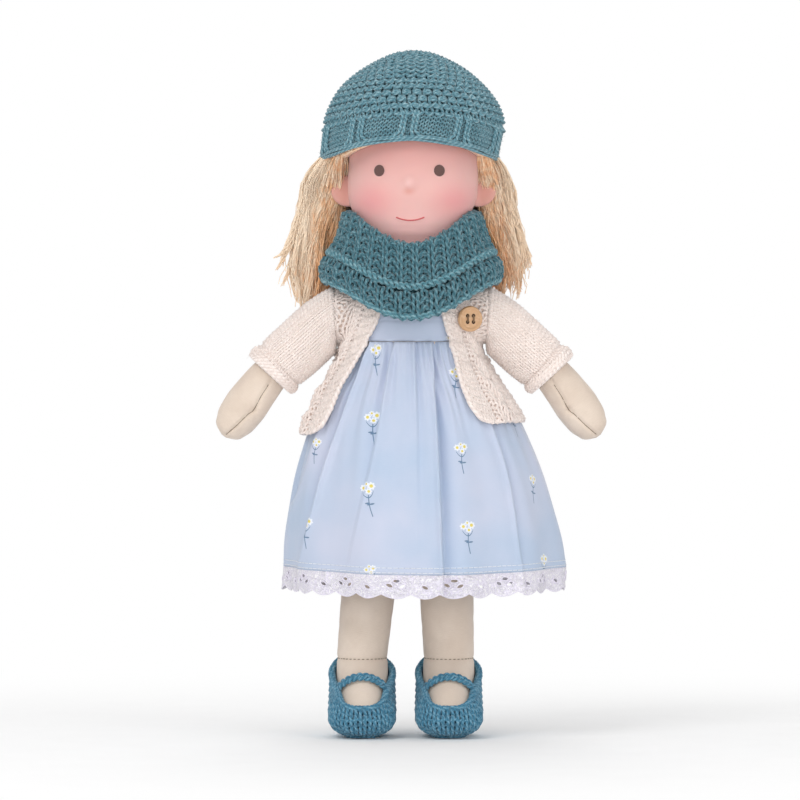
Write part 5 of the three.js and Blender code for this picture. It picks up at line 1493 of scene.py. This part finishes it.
def locks(count, clumps, seed, centre, spread=0.22, flicks=()):
    """Strands gathered in clumps. centre gives places for shares down the hair and spots in the unit disc."""
    steps = 16
    chance = np.random.default_rng(seed)
    angle, far = chance.random(clumps) * TAU, np.sqrt(chance.random(clumps))
    clump = np.stack([far * np.cos(angle), far * np.sin(angle)], 1)
    length = chance.uniform(0.74, 1.06, clumps)
    outermost = np.argsort(-clump[:, 0])
    swing = chance.normal(size=(clumps, 3)) * (1, 1, 0)
    phase = chance.random((clumps, 3)) * TAU
    own = chance.integers(0, clumps, count)
    angle, far = chance.random(count) * TAU, np.sqrt(chance.random(count)) * spread
    offset = np.stack([far * np.cos(angle), far * np.sin(angle)], 1)
    share = np.linspace(0, 1, steps)[None, :] * (length[own] * chance.uniform(0.86, 1.0, count))[:, None]
    gather = (1.25 - 0.95 * ease(share, 0.1, 1.0))[..., None]
    spot = np.clip(clump[own][:, None] + offset[:, None] * gather, -1, 1)
    places = centre(share, spot)
    curl = share[..., None] * 13.0 + phase[own][:, None]
    loose = 0.25 + ease(share, 0.05, 0.3)[..., None]
    places = places + 0.8 * np.sin(curl) * loose * (1, 1, 0.2)
    crimp = chance.random((count, 1, 3)) * TAU + share[..., None] * chance.uniform(28, 44, (count, 1, 1))
    places = places + 0.62 * np.sin(crimp) * chance.random((count, 1, 1)) * loose * (1, 1, 0.3)
    places = places + swing[own][:, None] * (1.9 * share ** 2)[..., None]
    stray = chance.normal(size=(count, 1, 3)) * (1, 0.7, 0.2) * (chance.random((count, 1, 1)) < 0.18)
    places = places + stray * (2.5 * share ** 1.5)[..., None]
    for which, push in zip(outermost, flicks):
        chosen = (own == which)[:, None, None]
        places = places + chosen * (ease(share, 0.45, 1.0) ** 2)[..., None] * np.array(push)
    width = np.interp(np.linspace(0, 1, steps), (0, 0.75, 1), (1, 0.9, 0.25))
    return [(path, width) for path in places]


# Each row: share down the lock; x, y and height of its middle; half its width and half its depth
SIDE_HAIR = {
    "left": [
        (0, 32.6, 2.0, 260.0, 3.4, 8.5), (0.06, 34.0, 2.5, 255.8, 5.5, 9.0),
        (0.16, 35.4, 6.0, 250.0, 8.0, 8.5), (0.3, 37.6, 10.5, 241.0, 8.4, 6.8),
        (0.48, 40.4, 13.0, 229.0, 8.4, 6.5), (0.7, 44.0, 15.0, 214.0, 8.4, 6.5),
        (1.05, 44.5, 18.0, 193.0, 7.6, 5.0)],
    "right": [
        (0, 32.8, 2.0, 260.0, 3.6, 8.5), (0.06, 35.0, 2.5, 255.8, 6.7, 9.0),
        (0.16, 36.8, 6.0, 250.0, 9.2, 8.5), (0.3, 39.2, 10.5, 241.0, 10.0, 6.8),
        (0.48, 42.4, 13.0, 228.0, 10.6, 6.6), (0.7, 44.8, 15.0, 212.0, 9.8, 6.6),
        (1.05, 44.6, 18.0, 186.0, 8.4, 5.0)],
}
LOCK_STRANDS, LOCK_CLUMPS, LOCK_SEEDS = 1450, 52, {"left": 21, "right": 22}
# The felted core in each lock: shares of its width and depth, from its top to where it ends
LOCK_CORE = [0.8, 1, 1, 1, 1, 1, 1, 1, 1, 0.95, 0.85, 0.7, 0.5, 0.25]
FLICKS = {"left": [(4.5, 0, 5), (3.0, 1, 2), (3.5, 0, 7)],
          "right": [(-13, -2, 17), (-9, -1, 12), (-11, 0, 8), (-6, 1, 4), (-7, 0, 0), (-4, 0, 7)]}
for side, way in SIDES.items():
    def lock_place(share, spot):
        """Places in the side's lock, at shares down it and spots in the unit disc across it."""
        x, y, height, wide, deep = np.moveaxis(through(SIDE_HAIR[side], share), -1, 0)
        return np.stack([way * (x + spot[..., 0] * wide), y + spot[..., 1] * deep, height], -1)

    paths = locks(LOCK_STRANDS, LOCK_CLUMPS, LOCK_SEEDS[side], lock_place, flicks=FLICKS[side])
    disc = outwards(around(24)) * 0.66
    core = [lock_place(np.full(24, share), disc * size)
            for share, size in zip(np.linspace(0.03, 0.9, len(LOCK_CORE)), LOCK_CORE)]
    core = lofted("hair_core", core[::-1] if way > 0 else [ring[::-1] for ring in core[::-1]], hair_paint)
    hair = threads(f"hair_{side}_lock", paths, HAIR_RADIUS, 3, hair_paint, join=(core,))
    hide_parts(f"hair_{side}")
    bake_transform(hair)

# The back hair: the same lengths in a broad curtain from ear to ear, cut straight below the shoulders.
# It lies outside the cowl and the collar, thicker in the middle than at its sides.
BACK_REACH = [(0, 33.0), (0.35, 40.5), (1.05, 42.0)]
BACK_TOP, BACK_BOTTOM, BACK_HALF_ARC = 257.0, 192.0, 0.35 * math.pi
BACK_STRANDS, BACK_CLUMPS = 1900, 84


def back_at(share, across, depth):
    """Places down the back hair, across it from -1 to 1 and through it from -1 inside to 1 outside."""
    a = TAU / 4 + across * BACK_HALF_ARC
    reach = through(BACK_REACH, share)[..., 0] + depth * (2.7 - 1.3 * np.abs(across) ** 2)
    return np.stack([reach * np.cos(a), reach * np.sin(a), BACK_TOP + (BACK_BOTTOM - BACK_TOP) * share], -1)


def back_place(share, spot):
    """The unit disc spread evenly over the back's width, with more of it outside than inside."""
    x, y = np.clip(np.moveaxis(spot, -1, 0), -1, 1)
    rim = np.sqrt(1.0001 - x * x)
    across = (np.arcsin(x) + x * rim) * 2 / math.pi
    depth = 2 * np.sqrt(np.clip(0.5 + 0.5 * y / rim, 0, 1)) - 1
    return back_at(share, across, depth)


share, across = np.meshgrid(np.linspace(0.72, 0.03, 12), np.linspace(-0.93, 0.93, 40), indexing="ij")
core = shell("hair_core", back_at(share, across, 0.1), back_at(share, across, -0.5), hair_paint, closed=False)
paths = locks(BACK_STRANDS, BACK_CLUMPS, 23, back_place, spread=0.13)
hair = threads("hair_back_lengths", paths, HAIR_RADIUS, 3, hair_paint, join=(core,))
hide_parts("hair_back")
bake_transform(hair)

# The cap of hair under the hat: the same mohair, laid from the crown down to where the rows are sewn.
# It shows only when the hat is lifted, and a thin layer of felted hair lies under its strands.
HAIR_SIDE, HAIR_FRONT, HAIR_BACK, HAIR_CROWN, HAIR_LINE, LAID_STRANDS = 5.6, 0.9, 5.4, 2.4, 250.0, 1000


def cap_places(a, share, grow=0.0):
    """Places on the hair under the hat, from the brim at 0 to the crown at 1."""
    height = HAIR_LINE + (CROWN_HEIGHT - HAIR_LINE) * share
    width, depth, _ = head_size(np.clip(height, HAIR_LINE, CROWN_HEIGHT - 0.2))
    wide = width * (1 + HAIR_SIDE / HEAD_HALF_WIDTH)
    deep = depth * (1 + (HAIR_FRONT + HAIR_BACK) / 2 / HEAD_HALF_DEPTH)
    back = (HAIR_BACK - HAIR_FRONT) / 2
    bottom = brim_height(a) + 0.4
    return np.stack([HEAD_CENTRE_X + (wide + grow) * np.cos(a), back + (deep + grow) * np.sin(a),
                     bottom + (CROWN_HEIGHT + HAIR_CROWN - bottom) * share + grow * share], -1)


a = around(120)
levels = np.linspace(0, 0.999, 50)
outer = cap_places(a[None], levels[:, None], -0.5)
inner = cap_places(a[None], levels[:, None] * 0.97, -0.5)
# Its inside is drawn in to just off the skin
width, depth, middle = head_size(np.clip(inner[..., 2], HAIR_LINE, CROWN_HEIGHT - 0.2))
skin = np.hypot((width + 0.35) * np.cos(a), (depth + 0.35) * np.sin(a))
inner[..., :2] *= np.minimum(1, skin / np.hypot(inner[..., 0] - middle, inner[..., 1]))[..., None]
chance = np.random.default_rng(24)
laid = []
for _ in range(LAID_STRANDS):
    turn = chance.random() * TAU + 0.25 * np.linspace(-1, 1, 8) * chance.normal()
    laid.append(cap_places(turn, np.linspace(0.0, 0.985, 8), -0.15 + 0.25 * chance.random()))
under = shell("cap_under", outer, inner, hair_paint)
cap = threads("hair_cap_laid", laid, 0.26, 3, hair_paint, join=(under,))
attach(cap, "head")
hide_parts("hair_cap")

# Camera, floor and light. The camera stands before the doll, a little above its middle, with a long lens.
# Four broad lamps and a pale room light it softly; the floor and the backdrop read white in the picture.
CAMERA_PLACE = np.array([-5.0, -2600.0, 185.0])
CAMERA_AIM = np.array([-5.0, 0.0, 149.0])
VIEW_WIDTH, SENSOR_WIDTH = 356.0, 36.0


def aimed(obj, place, aim):
    """Puts a lamp or camera at a place and turns it towards another, both in millimetres."""
    back = Vector(place) - Vector(aim)
    obj.location = Vector(place) * MM
    obj.rotation_euler = back.to_track_quat("Z", "Y").to_euler()
    bpy.context.scene.collection.objects.link(obj)


camera = bpy.data.objects.new("camera", bpy.data.cameras.new("camera"))
camera.data.sensor_width = SENSOR_WIDTH
camera.data.lens = SENSOR_WIDTH * np.linalg.norm(CAMERA_PLACE - CAMERA_AIM) / VIEW_WIDTH
camera.data.clip_start, camera.data.clip_end = 0.01, 50.0
aimed(camera, CAMERA_PLACE, CAMERA_AIM)
bpy.context.scene.camera = camera

# Each lamp: its place, its size, its power in watts
LAMP_AIM = (0, 0, 150)
LAMPS = {
    "key": ((-700, -1000, 1200), 900, 6.5),
    "fill": ((900, -900, 600), 900, 2.5),
    "front": ((0, -1400, 60), 900, 8.0),
    "rim": ((0, 900, 900), 700, 3.0),
}
for name, (spot, size, power) in LAMPS.items():
    lamp = bpy.data.lights.new(name, "AREA")
    lamp.shape, lamp.size, lamp.energy = "DISK", size * MM, power
    aimed(bpy.data.objects.new(name, lamp), spot, LAMP_AIM)

# The room is seen whiter than it lights
ROOM_LIGHT, ROOM_SEEN = 0.62, 1.0
world = bpy.data.worlds.new("pale room")
world.use_nodes = True
bpy.context.scene.world = world
light = world.node_tree.nodes["Background"]
rays = world.node_tree.nodes.new("ShaderNodeLightPath")
seen = None
for ray in ("Is Camera Ray", "Is Glossy Ray", "Is Transmission Ray"):
    if seen is None:
        seen = rays.outputs[ray]
        continue
    either = world.node_tree.nodes.new("ShaderNodeMath")
    either.operation = "MAXIMUM"
    world.node_tree.links.new(seen, either.inputs[0])
    world.node_tree.links.new(rays.outputs[ray], either.inputs[1])
    seen = either.outputs[0]
strength = world.node_tree.nodes.new("ShaderNodeMapRange")
strength.inputs["To Min"].default_value = ROOM_LIGHT
strength.inputs["To Max"].default_value = ROOM_SEEN
world.node_tree.links.new(seen, strength.inputs["Value"])
world.node_tree.links.new(strength.outputs[0], light.inputs["Strength"])
light.inputs["Color"].default_value = (1, 1, 1, 1)

FLOOR_SIZE = 6000.0
corners = np.array([(-1, -1, 0), (1, -1, 0), (1, 1, 0), (-1, 1, 0)]) * FLOOR_SIZE / 2
paint = Paint("pale floor", Roughness=0.9, Specular_IOR_Level=0.1)
grain = paint.noise(paint.place(), 40.0, 3.0)
floor_paint = paint.finish(paint.mix(grain, ink("#fbfbfb"), ink("#ffffff")), None, grain, 0.00005)
# Away from the doll's shadow the picture sees the floor as white as the backdrop behind it
x, y, _ = paint.split(paint.place())
away = (x * x + y * y).root().eased(0.12, 0.5)
seen = Field(paint, paint.node("LightPath", {}).socket)
white = paint.node("Emission", {})
both = paint.node("MixShader", {}, away * seen, Field(paint, paint.shader.outputs[0]), white)
paint.tree.links.new(both.socket, paint.tree.nodes["Material Output"].inputs["Surface"])
floor = place("floor", corners + (0, 0, -0.05), [np.array([[0, 1, 2, 3]])], None, floor_paint)

bpy.context.scene.view_settings.view_transform = "Standard"
